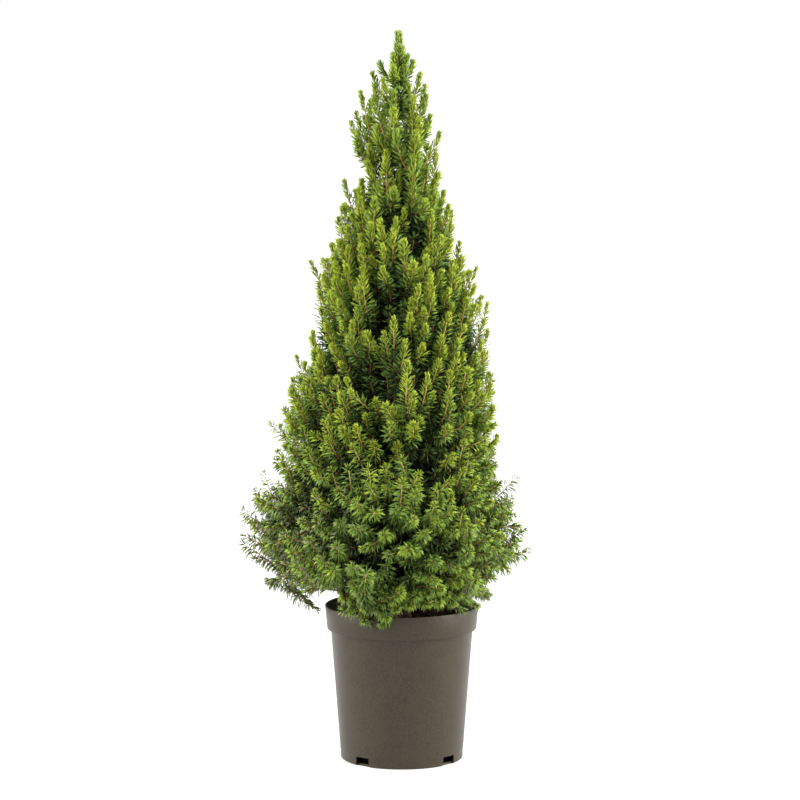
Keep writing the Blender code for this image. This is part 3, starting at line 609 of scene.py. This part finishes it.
def needles_along(curve, count, start_age_and_shade, ripe, random):
    """Feet, middles, tips and ages of the needles along a curve; the ages hold any painted shade of the
    shoot's layer.
    """
    crowding = YOUNG_CROWDING * (1 - ripe) + RIPE_CROWDING * ripe
    behind = min(curve.length, SPRAY_LENGTH) * np.linspace(0, 1, count) ** crowding
    behind += random.uniform(-FOOT_SPREAD, FOOT_SPREAD, count)
    behind = np.clip(behind, 0, curve.length)
    feet, along = curve.at(1 - behind / curve.length)
    side, other = crosswise(along)
    turn = GOLDEN_TURN * np.arange(count) + random.uniform(0, 2 * math.pi)
    turn = turn + random.normal(0, TURN_JITTER, count)
    outward = side * np.cos(turn)[:, None] + other * np.sin(turn)[:, None]
    scaled = behind / by(TUFT_STRETCH, curve.tip[2])
    angle = by(YOUNG_ANGLE, scaled) * (1 - ripe) + by(RIPE_ANGLE, behind) * ripe
    angle = np.radians(angle + random.normal(0, 1, count) * by(NEEDLE_ANGLE_SPREAD, scaled))[:, None]
    length = by(YOUNG_LENGTH, behind) * (1 - ripe) + by(RIPE_LENGTH, behind) * ripe
    length *= random.uniform(*NEEDLE_LENGTH_SPREAD, count) * by(TUFT_GIRTH, curve.tip[2])
    pointing = along * np.cos(angle) + outward * np.sin(angle)
    droop = by(NEEDLE_DROOP, curve.tip[2]) * np.clip(behind / DROOP_START, 0, 1)
    drooping = unit(pointing - np.array((0, 0, 1)) * droop[:, None])
    halfway = pointing * (1 - DROOP_AT_MIDDLE) + drooping * DROOP_AT_MIDDLE
    middles = feet + halfway * (length / 2)[:, None]
    middles += outward * (length * NEEDLE_BOW)[:, None]
    tips = feet + drooping * length[:, None]
    older = by(YOUNG_AGE, scaled) * (1 - ripe) + by(RIPE_AGE, behind) * ripe
    age = start_age_and_shade + older * by(AGEING, curve.tip[2]) + random.normal(0, NEEDLE_AGE_SPREAD, count)
    return feet, middles, tips, age


def in_opening(points):
    """Which points lie in the open place over the rim's left end."""
    height = points[:, 2] + points[:, 1] * OPENING_SLOPE
    beside = (points[:, 0] > OPENING_REACH[0]) & (points[:, 0] < OPENING_REACH[1])
    return beside & (height > OPENING_HEIGHT[0]) & (height < OPENING_HEIGHT[1])


def clear_of_pot(points):
    radius = np.hypot(points[:, 0], points[:, 1])
    return (radius > RIM_RADIUS + NEEDLE_CLEARANCE) | (points[:, 2] > POT_HEIGHT + NEEDLE_CLEARANCE)


def needle_mesh(feet, middles, tips, width, random):
    """Points and triangles of slim needles of even width: four points and four faces each."""
    along = tips - feet
    side, other = crosswise(unit(along))
    turn = random.uniform(0, 2 * math.pi, len(feet))[:, None]
    across = (side * np.cos(turn) + other * np.sin(turn)) * width[:, None] / 2
    ridge = (other * np.cos(turn) - side * np.sin(turn)) * width[:, None] * NEEDLE_THICKNESS / 2
    skew = along * NEEDLE_SKEW
    sides = (middles + across + ridge - skew, middles - across + ridge + skew)
    points = np.stack((feet - ridge, tips - ridge, *sides), axis=1)
    corners = np.array(((0, 1, 2), (0, 3, 1), (0, 2, 3), (1, 3, 2)))
    triangles = (np.arange(len(feet)) * 4)[:, None, None] + corners[None]
    return points.reshape(-1, 3), triangles.reshape(-1, 3)


# ---- mesh helpers ----

def placed(name, data):
    """A new object in the scene."""
    made = bpy.data.objects.new(name, data)
    bpy.context.scene.collection.objects.link(made)
    return made


def piece_from(name, points, faces, materials, tones=None, smooth=True):
    """An object from arrays of points and of faces that all have as many corners."""
    mesh = bpy.data.meshes.new(name)
    mesh.vertices.add(len(points))
    mesh.vertices.foreach_set("co", np.asarray(points, dtype=np.float32).ravel())
    corners = faces.shape[1]
    mesh.loops.add(faces.size)
    mesh.loops.foreach_set("vertex_index", faces.astype(np.int32).ravel())
    mesh.polygons.add(len(faces))
    mesh.polygons.foreach_set("loop_start", np.arange(len(faces), dtype=np.int32) * corners)
    for material in materials:
        mesh.materials.append(material)
    if tones is not None:
        mesh.polygons.foreach_set("material_index", tones.astype(np.int32))
    mesh.polygons.foreach_set("use_smooth", np.full(len(faces), smooth))
    mesh.update(calc_edges=True)
    return placed(name, mesh)


def skin(rings, sides):
    """Triangles between rings of points, and from the end rings to the two points after them."""
    first = np.arange(sides)
    second = (first + 1) % sides
    faces = []
    for row in range(rings - 1):
        low, high = row * sides, (row + 1) * sides
        faces.append(np.stack((low + first, low + second, high + second), axis=1))
        faces.append(np.stack((low + first, high + second, high + first), axis=1))
    last, foot, tip = (rings - 1) * sides, rings * sides, rings * sides + 1
    faces.append(np.stack((second, first, np.full(sides, foot)), axis=1))
    faces.append(np.stack((last + first, last + second, np.full(sides, tip)), axis=1))
    return np.concatenate(faces)


def tube(path, along, radii, sides):
    """Points and triangles of a closed tube: its rings, then the middles of its two ends."""
    side, other = crosswise(along)
    turns = turns_round(sides)[None, :, None]
    outward = side[:, None] * np.cos(turns) + other[:, None] * np.sin(turns)
    rings = path[:, None] + outward * np.reshape(radii, (len(path), -1, 1))
    return np.concatenate((rings.reshape(-1, 3), path[:1], path[-1:])), skin(len(path), sides)


def joined(parts):
    """Several (points, faces, tones) as one."""
    points, faces, tones = zip(*parts)
    offsets = np.cumsum([0] + [len(part_points) for part_points in points[:-1]])
    shifted = [part_faces + offset for part_faces, offset in zip(faces, offsets)]
    return np.concatenate(points), np.concatenate(shifted), np.concatenate(tones)


def object_from(name, shape, material=None):
    """An object from a bmesh, which it frees."""
    mesh = bpy.data.meshes.new(name)
    shape.to_mesh(mesh)
    shape.free()
    if material:
        mesh.materials.append(material)
    return placed(name, mesh)


# ---- finishes ----

class Flow:
    """A value or colour that runs through nodes. Sums on it add Math nodes."""

    def __init__(self, nodes, socket):
        self.nodes, self.socket = nodes, socket

    def __add__(self, other):
        return self.nodes.add("ShaderNodeMath", {"operation": "ADD"}, {0: self, 1: other})

    def __mul__(self, other):
        return self.nodes.add("ShaderNodeMath", {"operation": "MULTIPLY"}, {0: self, 1: other})

    __radd__ = __add__
    __rmul__ = __mul__


class Nodes:
    """The nodes of a material or of the world."""

    def __init__(self, tree):
        self.tree = tree

    def add(self, kind, settings, sockets, out=0):
        """Adds a node: its settings or its ramp's stops first, then its sockets' values or flows."""
        node = self.tree.nodes.new(kind)
        for setting, value in settings.items():
            if setting == "stops":
                for stop, (position, grey) in zip(node.color_ramp.elements, value):
                    stop.position = position
                    stop.color = (grey, grey, grey, 1.0)
            else:
                setattr(node, setting, value)
        for socket, value in sockets.items():
            if isinstance(value, Flow):
                self.tree.links.new(value.socket, node.inputs[socket])
            else:
                node.inputs[socket].default_value = value
        return Flow(self, node.outputs[out])


class Finish(Nodes):
    """One material: its Principled shader and the nodes that feed it."""

    def __init__(self, name, roughness, specular, colour=None):
        self.material = bpy.data.materials.new(name)
        self.material.use_nodes = True
        super().__init__(self.material.node_tree)
        self.shader = self.tree.nodes["Principled BSDF"]
        self.shader.inputs["Roughness"].default_value = roughness
        self.shader.inputs["Specular IOR Level"].default_value = specular
        if colour:
            self.shader.inputs["Base Color"].default_value = (*colour, 1.0)
        else:
            self.place = self.add("ShaderNodeTexCoord", {}, {}, "Object")

    def grain(self, scale, detail=2.0, roughness=0.5, rise=1.0):
        """Soft noise between about 0.3 and 0.7, drawn out upwards where rise is under 1."""
        place = self.place
        if rise < 1.0:
            place = self.add("ShaderNodeMapping", {}, {"Vector": place, "Scale": (1.0, 1.0, rise)})
        sockets = {"Vector": place, "Scale": scale, "Detail": detail, "Roughness": roughness}
        return self.add("ShaderNodeTexNoise", {}, sockets, "Fac")

    def sharpened(self, flow, low, high):
        """0 below low, 1 above high, and smooth between them."""
        sockets = {"Value": flow, "From Min": low, "From Max": high}
        return self.add("ShaderNodeMapRange", {"interpolation_type": "SMOOTHSTEP"}, sockets, "Result")

    def feed(self, socket, flow):
        self.tree.links.new(flow.socket, self.shader.inputs[socket])

    def colour(self, base, *layers):
        """A base colour with others blended over it, each by its own share."""
        base = (*base, 1.0)
        for share, tone in layers:
            sockets = {0: share, 6: base, 7: (*tone, 1.0)}
            base = self.add("ShaderNodeMix", {"data_type": "RGBA"}, sockets, 2)
        self.feed("Base Color", base)

    def raise_by(self, height, distance, strength=1.0):
        """Relief of a height between 0 and 1, in metres."""
        sockets = {"Strength": strength, "Distance": distance, "Height": height}
        self.feed("Normal", self.add("ShaderNodeBump", {}, sockets))


def pot_plastic():
    """Dark warm-grey recycled plastic: finely mottled, with faint scuffs and dust."""
    finish = Finish("pot_plastic", 0.5, 0.32)
    mottle = finish.sharpened(finish.grain(420.0, 4.0, 0.75), 0.32, 0.68)
    cloud = finish.sharpened(finish.grain(38.0, 3.0), 0.30, 0.70)
    scuff = finish.sharpened(finish.grain(260.0, 4.0, 0.6, rise=0.25), 0.66, 0.78)
    finish.colour((0.023, 0.0168, 0.0070), (mottle, (0.041, 0.0322, 0.0178)),
                  (cloud * 0.35, (0.043, 0.0335, 0.0175)), (scuff * 0.25, (0.10, 0.09, 0.065)))
    finish.feed("Roughness", 0.36 + mottle * 0.06 + scuff * 0.14)
    finish.raise_by(finish.grain(1100.0) * 0.5 + cloud * 0.5, 0.0003, 0.5)
    return finish.material


def compost():
    """Dark bark-based compost with paler fibres and bits of wood."""
    finish = Finish("compost", 0.95, 0.2)
    crumb = finish.grain(420.0, 4.0, 0.7)
    fleck = finish.sharpened(finish.grain(260.0), 0.62, 0.70)
    finish.colour((0.012, 0.008, 0.005), (finish.sharpened(crumb, 0.3, 0.7), (0.055, 0.034, 0.020)),
                  (fleck * 0.7, (0.16, 0.10, 0.055)))
    finish.raise_by(crumb, 0.0015)
    return finish.material


def bark_chips():
    """Bits of composted bark, from near black to tan."""
    finish = Finish("bark_chips", 0.9, 0.2)
    patch = finish.sharpened(finish.grain(140.0), 0.35, 0.65)
    fibre = finish.grain(900.0, 3.0, 0.6)
    finish.colour((0.030, 0.018, 0.010), (patch, (0.12, 0.070, 0.038)),
                  (fibre * 0.5, (0.020, 0.013, 0.008)))
    finish.raise_by(fibre, 0.0005)
    return finish.material


def bark():
    """Reddish-brown bark, grey on its ridges, in thin flakes."""
    finish = Finish("spruce_bark", 0.85, 0.25)
    flake = finish.grain(520.0, 4.0, 0.65, rise=0.35)
    patch = finish.sharpened(finish.grain(110.0, 3.0), 0.40, 0.66)
    finish.colour((0.045, 0.022, 0.012), (finish.sharpened(flake, 0.34, 0.66), (0.20, 0.105, 0.060)),
                  (patch * 0.5, (0.22, 0.18, 0.14)))
    finish.raise_by(flake, 0.0009)
    return finish.material


# Tones of the needles from the youngest to the oldest, then a pale band's and the weathered ones'. Deep
# and shade also paint the shade inside the crown on the inner layers' needles.
NEEDLE_TONES = {
    "lime_tip": (0.335, 0.415, 0.034),
    "lime": (0.282, 0.370, 0.034),
    "fresh": (0.222, 0.316, 0.039),
    "leaf": (0.160, 0.250, 0.041),
    "green": (0.102, 0.169, 0.031),
    "deep": (0.051, 0.090, 0.019),
    "shade": (0.022, 0.036, 0.010),
    # Pale stomatal band, also a painted highlight.
    "pale_band": (0.25, 0.32, 0.17),
    "weathered": (0.215, 0.235, 0.105),
}
TWIG_TONES = {
    "straw": (0.50, 0.38, 0.11),
    "tan": (0.42, 0.25, 0.070),
    "russet": (0.22, 0.100, 0.030),
    "brown": (0.058, 0.032, 0.018),
}


def plain_tones(what, tones, roughness, specular):
    """A plain material for each tone."""
    return [Finish(f"{what}_{tone}", roughness, specular, tones[tone]).material for tone in tones]


# ---- pieces ----

def finish_piece(piece, slot, *nodes):
    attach(piece, "root")
    if nodes:
        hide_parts(*nodes)


def body_radius(height):
    """The pot's outer radius between its ledge and its collar."""
    share = (height - LEDGE_HEIGHT) / (POT_HEIGHT - COLLAR_HEIGHT - LEDGE_HEIGHT)
    return BODY_FOOT_RADIUS + (BODY_TOP_RADIUS - BODY_FOOT_RADIUS) * share


def arc(middle, radius, first, last, steps=5):
    """Points (radius, height) of a rounding, between two turns in degrees."""
    turns = np.radians(np.linspace(first, last, steps))
    return [(middle[0] + radius * math.cos(turn), middle[1] + radius * math.sin(turn)) for turn in turns]


def build_pot(material):
    """The pot's wall turned from its profile, with the drainage notches cut from its foot."""
    collar_foot = POT_HEIGHT - COLLAR_HEIGHT
    foot_radius = BODY_FOOT_RADIUS - LEDGE_DEPTH
    inner_top = RIM_RADIUS - POT_WALL
    floor_edge = foot_radius - POT_WALL - FLOOR_ROUNDING
    rim_height = POT_HEIGHT - RIM_ROUNDING
    collar_edge = (COLLAR_FOOT_RADIUS - COLLAR_ROUNDING, collar_foot + COLLAR_ROUNDING)
    fillet = (body_radius(collar_foot) + COLLAR_ROUNDING, collar_foot - COLLAR_ROUNDING)
    profile = [
        (0.0, POT_FLOOR),
        (floor_edge, POT_FLOOR),
        *arc((floor_edge, POT_FLOOR + FLOOR_ROUNDING), FLOOR_ROUNDING, -90, 0),
        (body_radius(collar_foot) - POT_WALL, collar_foot - SHOULDER_DROP),
        (inner_top - MOUTH_FLARE, POT_HEIGHT - COLLAR_HEIGHT / 2),
        (inner_top, rim_height),
        *arc((inner_top + RIM_ROUNDING, rim_height), RIM_ROUNDING, 170, 90),
        *arc((RIM_RADIUS - RIM_ROUNDING, rim_height), RIM_ROUNDING, 90, 5),
        *arc(collar_edge, COLLAR_ROUNDING, -5, -90),
        *arc(fillet, COLLAR_ROUNDING, 90, 180),
        (body_radius(LEDGE_HEIGHT + LEDGE_START), LEDGE_HEIGHT + LEDGE_START),
        (BODY_FOOT_RADIUS - LEDGE_EDGE, LEDGE_HEIGHT),
        (foot_radius, LEDGE_HEIGHT - LEDGE_END),
        *arc((foot_radius - FOOT_ROUNDING, FOOT_ROUNDING), FOOT_ROUNDING, 0, -90, 7),
        (0.0, 0.0),
    ]
    shape = bmesh.new()
    points = [shape.verts.new((radius, 0, height)) for radius, height in profile]
    edges = [shape.edges.new(pair) for pair in zip(points, points[1:])]
    bmesh.ops.spin(shape, geom=points + edges, axis=(0, 0, 1), cent=(0, 0, 0), steps=POT_SIDES,
                   angle=2 * math.pi, use_merge=True)
    bmesh.ops.remove_doubles(shape, verts=shape.verts, dist=0.00001)
    bmesh.ops.recalc_face_normals(shape, faces=shape.faces)
    pot = object_from("pot_shell", shape, material)
    for number in range(NOTCH_COUNT):
        cut_notch(pot, number)
    pot.data.shade_smooth()
    pot.data.set_sharp_from_angle(angle=math.radians(SHARP_ANGLE))
    finish_piece(pot, "pot", "pot")


def cut_notch(pot, number):
    """Cuts one drainage notch, narrower at its top, across the corner of the pot's foot."""
    shape = bmesh.new()
    bmesh.ops.create_cube(shape, size=1.0)
    for vertex in shape.verts:
        narrowing = NOTCH_TOP_SHARE if vertex.co.z > 0 else 1.0
        vertex.co *= Vector((2 * NOTCH_DEPTH, NOTCH_WIDTH * narrowing, 2 * NOTCH_HEIGHT))
    cutter = object_from("notch_cutter", shape)
    turn = math.radians(NOTCH_FIRST_TURN + 360.0 * number / NOTCH_COUNT)
    cutter.location = (BODY_FOOT_RADIUS * math.cos(turn), BODY_FOOT_RADIUS * math.sin(turn), 0)
    cutter.rotation_euler = (0, 0, turn)
    cut = pot.modifiers.new("notch", "BOOLEAN")
    cut.operation = "DIFFERENCE"
    cut.solver = "EXACT"
    cut.object = cutter
    bpy.context.view_layer.update()
    shape = bmesh.new()
    shape.from_object(pot, bpy.context.evaluated_depsgraph_get())
    pot.modifiers.clear()
    shape.to_mesh(pot.data)
    shape.free()
    bpy.data.objects.remove(cutter)


def tone_places(ages, feet, random):
    """Place of each needle's tone, and which needles show a pale band, a stomatal line that is also a
    painted highlight.
    """
    tones = np.clip(np.floor(ages + random.uniform(0, 1, len(ages))), 0, OLDEST_TONE).astype(int)
    old = (tones >= BANDED_TONES[0]) & (tones <= BANDED_TONES[1])
    banded = old & (random.uniform(0, 1, len(tones)) < BANDED_SHARE)
    weathered = random.uniform(0, 1, len(tones)) < weathering(feet) * WEATHERED_SHARE
    tones[weathered] = WEATHERED_TONE
    return tones, banded


def build_needles(mass, twigs, grown, materials, random):
    """All the needles of one mass as one piece, each needle in the tone of its age, which on the inner
    layers is partly painted shade.
    """
    sprays = []
    widths = []
    for shoot, curve in grown:
        age = shoot.age + random.uniform(*AGE_SPREAD)
        sprays.append(needles_along(curve, shoot.needles, age, shoot.ripeness, random))
        widths.append(np.full(shoot.needles, shoot.width * by(TUFT_GIRTH, shoot.tip[2]) ** 2))
    for curve in twigs:
        bare = bareness(curve.tip[2], math.atan2(curve.tip[1], curve.tip[0]))
        count = round(TWIG_NEEDLES * max(1 - TWIG_BARING * bare, 0))
        sprays.append(needles_along(curve, count, TWIG_AGE * (1 - BARE_PALING * bare), 1.0, random))
        widths.append(np.full(count, TWIG_NEEDLE_WIDTH))
    feet, middles, tips, ages = (np.concatenate(rows) for rows in zip(*sprays))
    width = NEEDLE_WIDTH * np.concatenate(widths) * random.uniform(*NEEDLE_WIDTH_SPREAD, len(feet))
    kept = clear_of_pot(tips) & clear_of_pot(middles) & ~in_opening(tips) & ~in_opening(feet)
    points, triangles = needle_mesh(feet[kept], middles[kept], tips[kept], width[kept], random)
    needle_tones, banded = tone_places(ages[kept], feet[kept], random)
    tones = np.repeat(needle_tones, 4).reshape(-1, 4)
    # One side of a banded needle gets the pale band: a stomatal line and a painted highlight.
    tones[banded, 0] = BAND_TONE
    name = mass.name.replace("foliage", "needles")
    finish_piece(piece_from(name, points, triangles, materials, tones.ravel()), "foliage", mass.name)


def limb_inside(mass):
    """The part of a mass's limb that its bough doesn't cover."""
    path, radii = limb_of(mass)
    along = unit(np.gradient(path, axis=0))
    first = BOUGH_STEPS if mass.tier in BOUGH_TIERS else 0
    points, faces = tube(path[first:], along[first:], radii[first:], LIMB_SIDES)
    return points, faces, np.full(len(faces), OLD_TWIG)


def forking_twig(curve):
    path, along = curve.at(np.linspace(0, 1, TWIG_STEPS))
    points, faces = tube(path, along, np.linspace(*TWIG_RADII, TWIG_STEPS), TWIG_SIDES)
    return points, faces, np.full(len(faces), OLD_TWIG)


def shoot_twig(curve, age):
    """A shoot's own twig, straw-coloured near the tip and browner back towards the fork."""
    path, along = curve.at(np.linspace(0, 1 - SHOOT_BARE_TIP / curve.length, SHOOT_STEPS))
    radii = np.linspace(*SHOOT_RADII, SHOOT_STEPS) * by(TUFT_GIRTH, curve.tip[2])
    points, faces = tube(path, along, radii, TWIG_SIDES)
    rows = np.repeat(np.arange(SHOOT_STEPS - 1), 2 * TWIG_SIDES)
    behind = (1 - (rows + 0.5) / (SHOOT_STEPS - 1)) * curve.length
    tone = (by(SHOOT_TONE, behind) + age * TWIG_AGEING) * by(AGEING, curve.tip[2]) ** 2
    tone = np.clip(tone, 0, OLD_TWIG).round()
    ends = np.repeat((tone[0], tone[-1]), TWIG_SIDES)
    return points, faces, np.concatenate((tone, ends))


def build_crown(masses, random):
    """Each mass's twigs and needles. The twigs of a tier are one piece."""
    needle_tones = plain_tones("needles", NEEDLE_TONES, 0.50, 0.12)
    twig_tones = plain_tones("twig", TWIG_TONES, 0.70, 0.20)
    heads = np.array([mass.head for mass in masses])
    shoots_of = [[] for _ in masses]
    for shoot in place_shoots(random):
        shoots_of[mass_of(shoot, heads)].append(shoot)
    twigs_by_tier = {}
    for mass, shoots in zip(masses, shoots_of):
        twigs, grown = grow_mass(mass, shoots, random)
        build_needles(mass, twigs, grown, needle_tones, random)
        parts = twigs_by_tier.setdefault(mass.tier, [])
        parts.append(limb_inside(mass))
        parts.extend(forking_twig(curve) for curve in twigs)
        parts.extend(shoot_twig(curve, shoot.age) for shoot, curve in grown)
    for tier, parts in twigs_by_tier.items():
        points, faces, tones = joined(parts)
        finish_piece(piece_from(f"{tier}_twigs", points, faces, twig_tones, tones), "bark")


def bark_tube(path, radii, sides, random):
    """A limb with flaky relief: rings close together, each corner moved in or out."""
    lengths = np.concatenate(([0], np.cumsum(norm(np.diff(path, axis=0), axis=1))))
    count = max(6, int(lengths[-1] / BARK_RING))
    places = np.linspace(0, lengths[-1], count)
    fine = points_at(places, lengths, path)
    radius = np.interp(places, lengths, radii)
    along = unit(np.gradient(fine, axis=0))
    turns = turns_round(sides)
    shift = Vector(random.uniform(-10, 10, 3))
    across, upward = BARK_NOISE
    relief = np.array([[
        noise.fractal(Vector((math.cos(turn) * across, math.sin(turn) * across, place * upward)) + shift,
                      1.0, 2.0, 3)
        for turn in turns] for place in places])
    return tube(fine, along, radius[:, None] * (1 + BARK_RELIEF * relief), sides)


def build_trunk_and_boughs(masses, material, random):
    foot = SOIL_TOP + SEAT_GAP
    heights = np.linspace(foot, TRUNK_TOP, TRUNK_RINGS)
    heights = np.concatenate(([foot, foot + TRUNK_CUFF], heights[1:]))
    path = np.array([trunk_middle(height) for height in heights])
    path[0, :2] = path[1, :2]
    radii = np.array([trunk_radius(height) for height in heights])
    points, faces = bark_tube(path, radii, TRUNK_SIDES, random)
    finish_piece(piece_from("trunk_with_bark", points, faces, [material]), "bark", "trunk")
    parts = []
    nodes = []
    for mass in masses:
        if mass.tier in BOUGH_TIERS:
            path, radii = limb_of(mass)
            end = BOUGH_STEPS + 1
            points, faces = bark_tube(path[:end], radii[:end], BOUGH_SIDES, random)
            parts.append((points, faces, np.zeros(len(faces))))
            nodes.append(mass.name.replace("foliage", "bough"))
    points, faces, _ = joined(parts)
    finish_piece(piece_from("boughs_with_bark", points, faces, [material]), "bark", *nodes)


def build_compost(material):
    """A crumbly surface over the plug of compost that fills the pot."""
    edge = body_radius(SOIL_TOP) - POT_WALL - SEAT_GAP - SOIL_TO_WALL
    foot = BODY_FOOT_RADIUS - LEDGE_DEPTH - POT_WALL - SEAT_GAP - PLUG_TO_WALL
    floor = POT_FLOOR + SEAT_GAP
    turns = turns_round(SOIL_SIDES)
    points = []
    for row in range(1, SOIL_RINGS + 1):
        radius = edge * row / SOIL_RINGS
        level = SOIL_TOP - SOIL_CRUMB - SOIL_DISH * (radius / edge) ** 2
        for turn in turns:
            place = Vector((radius * math.cos(turn), radius * math.sin(turn), 0))
            crumb = noise.fractal(place * SOIL_GRAIN, 1.0, 2.0, 4)
            points.append((place.x, place.y, level + SOIL_CRUMB * crumb))
    plug = ((foot, PLUG_FOOT), (PLUG_MIDDLE, PLUG_FOOT - PLUG_SLOPE), (PLUG_MIDDLE, floor))
    for radius, height in plug:
        points += [(radius * math.cos(turn), radius * math.sin(turn), height) for turn in turns]
    points += [(0, 0, SOIL_TOP - SOIL_CRUMB), (0, 0, floor)]
    faces = skin(SOIL_RINGS + len(plug), SOIL_SIDES)[:, ::-1]
    soil = piece_from("compost_surface", np.array(points), np.ascontiguousarray(faces), [material])
    finish_piece(soil, "soil", "soil")


def build_bark_bits(material, random):
    """Loose bits of bark that lie on the compost at all turns."""
    half = (-0.5, 0.5)
    corners = np.array([(x, y, z) for x in half for y in half for z in half])
    sides = np.array(((0, 1, 3, 2), (4, 6, 7, 5), (0, 4, 5, 1), (2, 3, 7, 6), (0, 2, 6, 4), (1, 5, 7, 3)))
    parts = []
    for _ in range(CHIP_COUNT):
        turn = random.uniform(0, 2 * math.pi)
        radius = math.sqrt(random.uniform(*CHIP_AREA)) * body_radius(SOIL_TOP)
        tilt = Euler((*random.normal(0, CHIP_TILT, 2), random.uniform(0, math.pi)))
        size = CHIP_SIZE * random.uniform(*CHIP_SIZE_SPREAD, 3)
        ragged = corners + random.uniform(-CHIP_RAGGEDNESS, CHIP_RAGGEDNESS, corners.shape)
        points = (ragged * size) @ np.array(tilt.to_matrix()).T
        points += (radius * math.cos(turn), radius * math.sin(turn), SOIL_TOP - CHIP_SIZE[2])
        parts.append((points, sides, np.zeros(len(sides))))
    points, faces, _ = joined(parts)
    finish_piece(piece_from("compost_bark_bits", points, faces, [material], smooth=False), "soil")


# ---- studio ----

def surroundings():
    """White round the horizon and greyer above it."""
    world = bpy.data.worlds.new("studio")
    world.use_nodes = True
    nodes = Nodes(world.node_tree)
    place = nodes.add("ShaderNodeTexCoord", {}, {}, "Generated")
    height = nodes.add("ShaderNodeSeparateXYZ", {}, {0: place}, "Z")
    grey = nodes.add("ShaderNodeValToRGB", {"stops": HORIZON}, {0: height}, "Color")
    nodes.tree.links.new(grey.socket, nodes.tree.nodes["Background"].inputs["Color"])
    bpy.context.scene.world = world
    bpy.context.scene.view_settings.view_transform = "Standard"


def pale_floor():
    white = Finish("floor_white", 0.9, 0.1, (FLOOR_GREY, FLOOR_GREY, FLOOR_GREY))
    white.shader.inputs["Emission Color"].default_value = (1.0, 1.0, 1.0, 1.0)
    white.shader.inputs["Emission Strength"].default_value = FLOOR_GLOW
    corners = np.array([(-1, -1, 0), (1, -1, 0), (1, 1, 0), (-1, 1, 0)]) * FLOOR_REACH
    piece_from("floor", corners, np.array([(0, 1, 2, 3)]), [white.material], smooth=False)


def soft_suns():
    for name, place, power, width in SUNS:
        light = bpy.data.lights.new(name, "SUN")
        light.energy = power
        light.angle = math.radians(width)
        placed(name, light).rotation_euler = (-Vector(place)).to_track_quat("-Z", "Y").to_euler()


def camera_in_front():
    camera = bpy.data.cameras.new("camera")
    camera.lens = CAMERA_LENS
    camera.sensor_width = 36.0
    viewpoint = placed("camera", camera)
    viewpoint.location = CAMERA_PLACE
    viewpoint.rotation_euler = (math.pi / 2 - CAMERA_DIP, 0, 0)
    bpy.context.scene.camera = viewpoint


random_draws = np.random.RandomState(SEED)
all_masses = crown_masses()
build_crown(all_masses, random_draws)
build_trunk_and_boughs(all_masses, bark(), random_draws)
build_compost(compost())
build_bark_bits(bark_chips(), random_draws)
build_pot(pot_plastic())
surroundings()
pale_floor()
soft_suns()
camera_in_front()
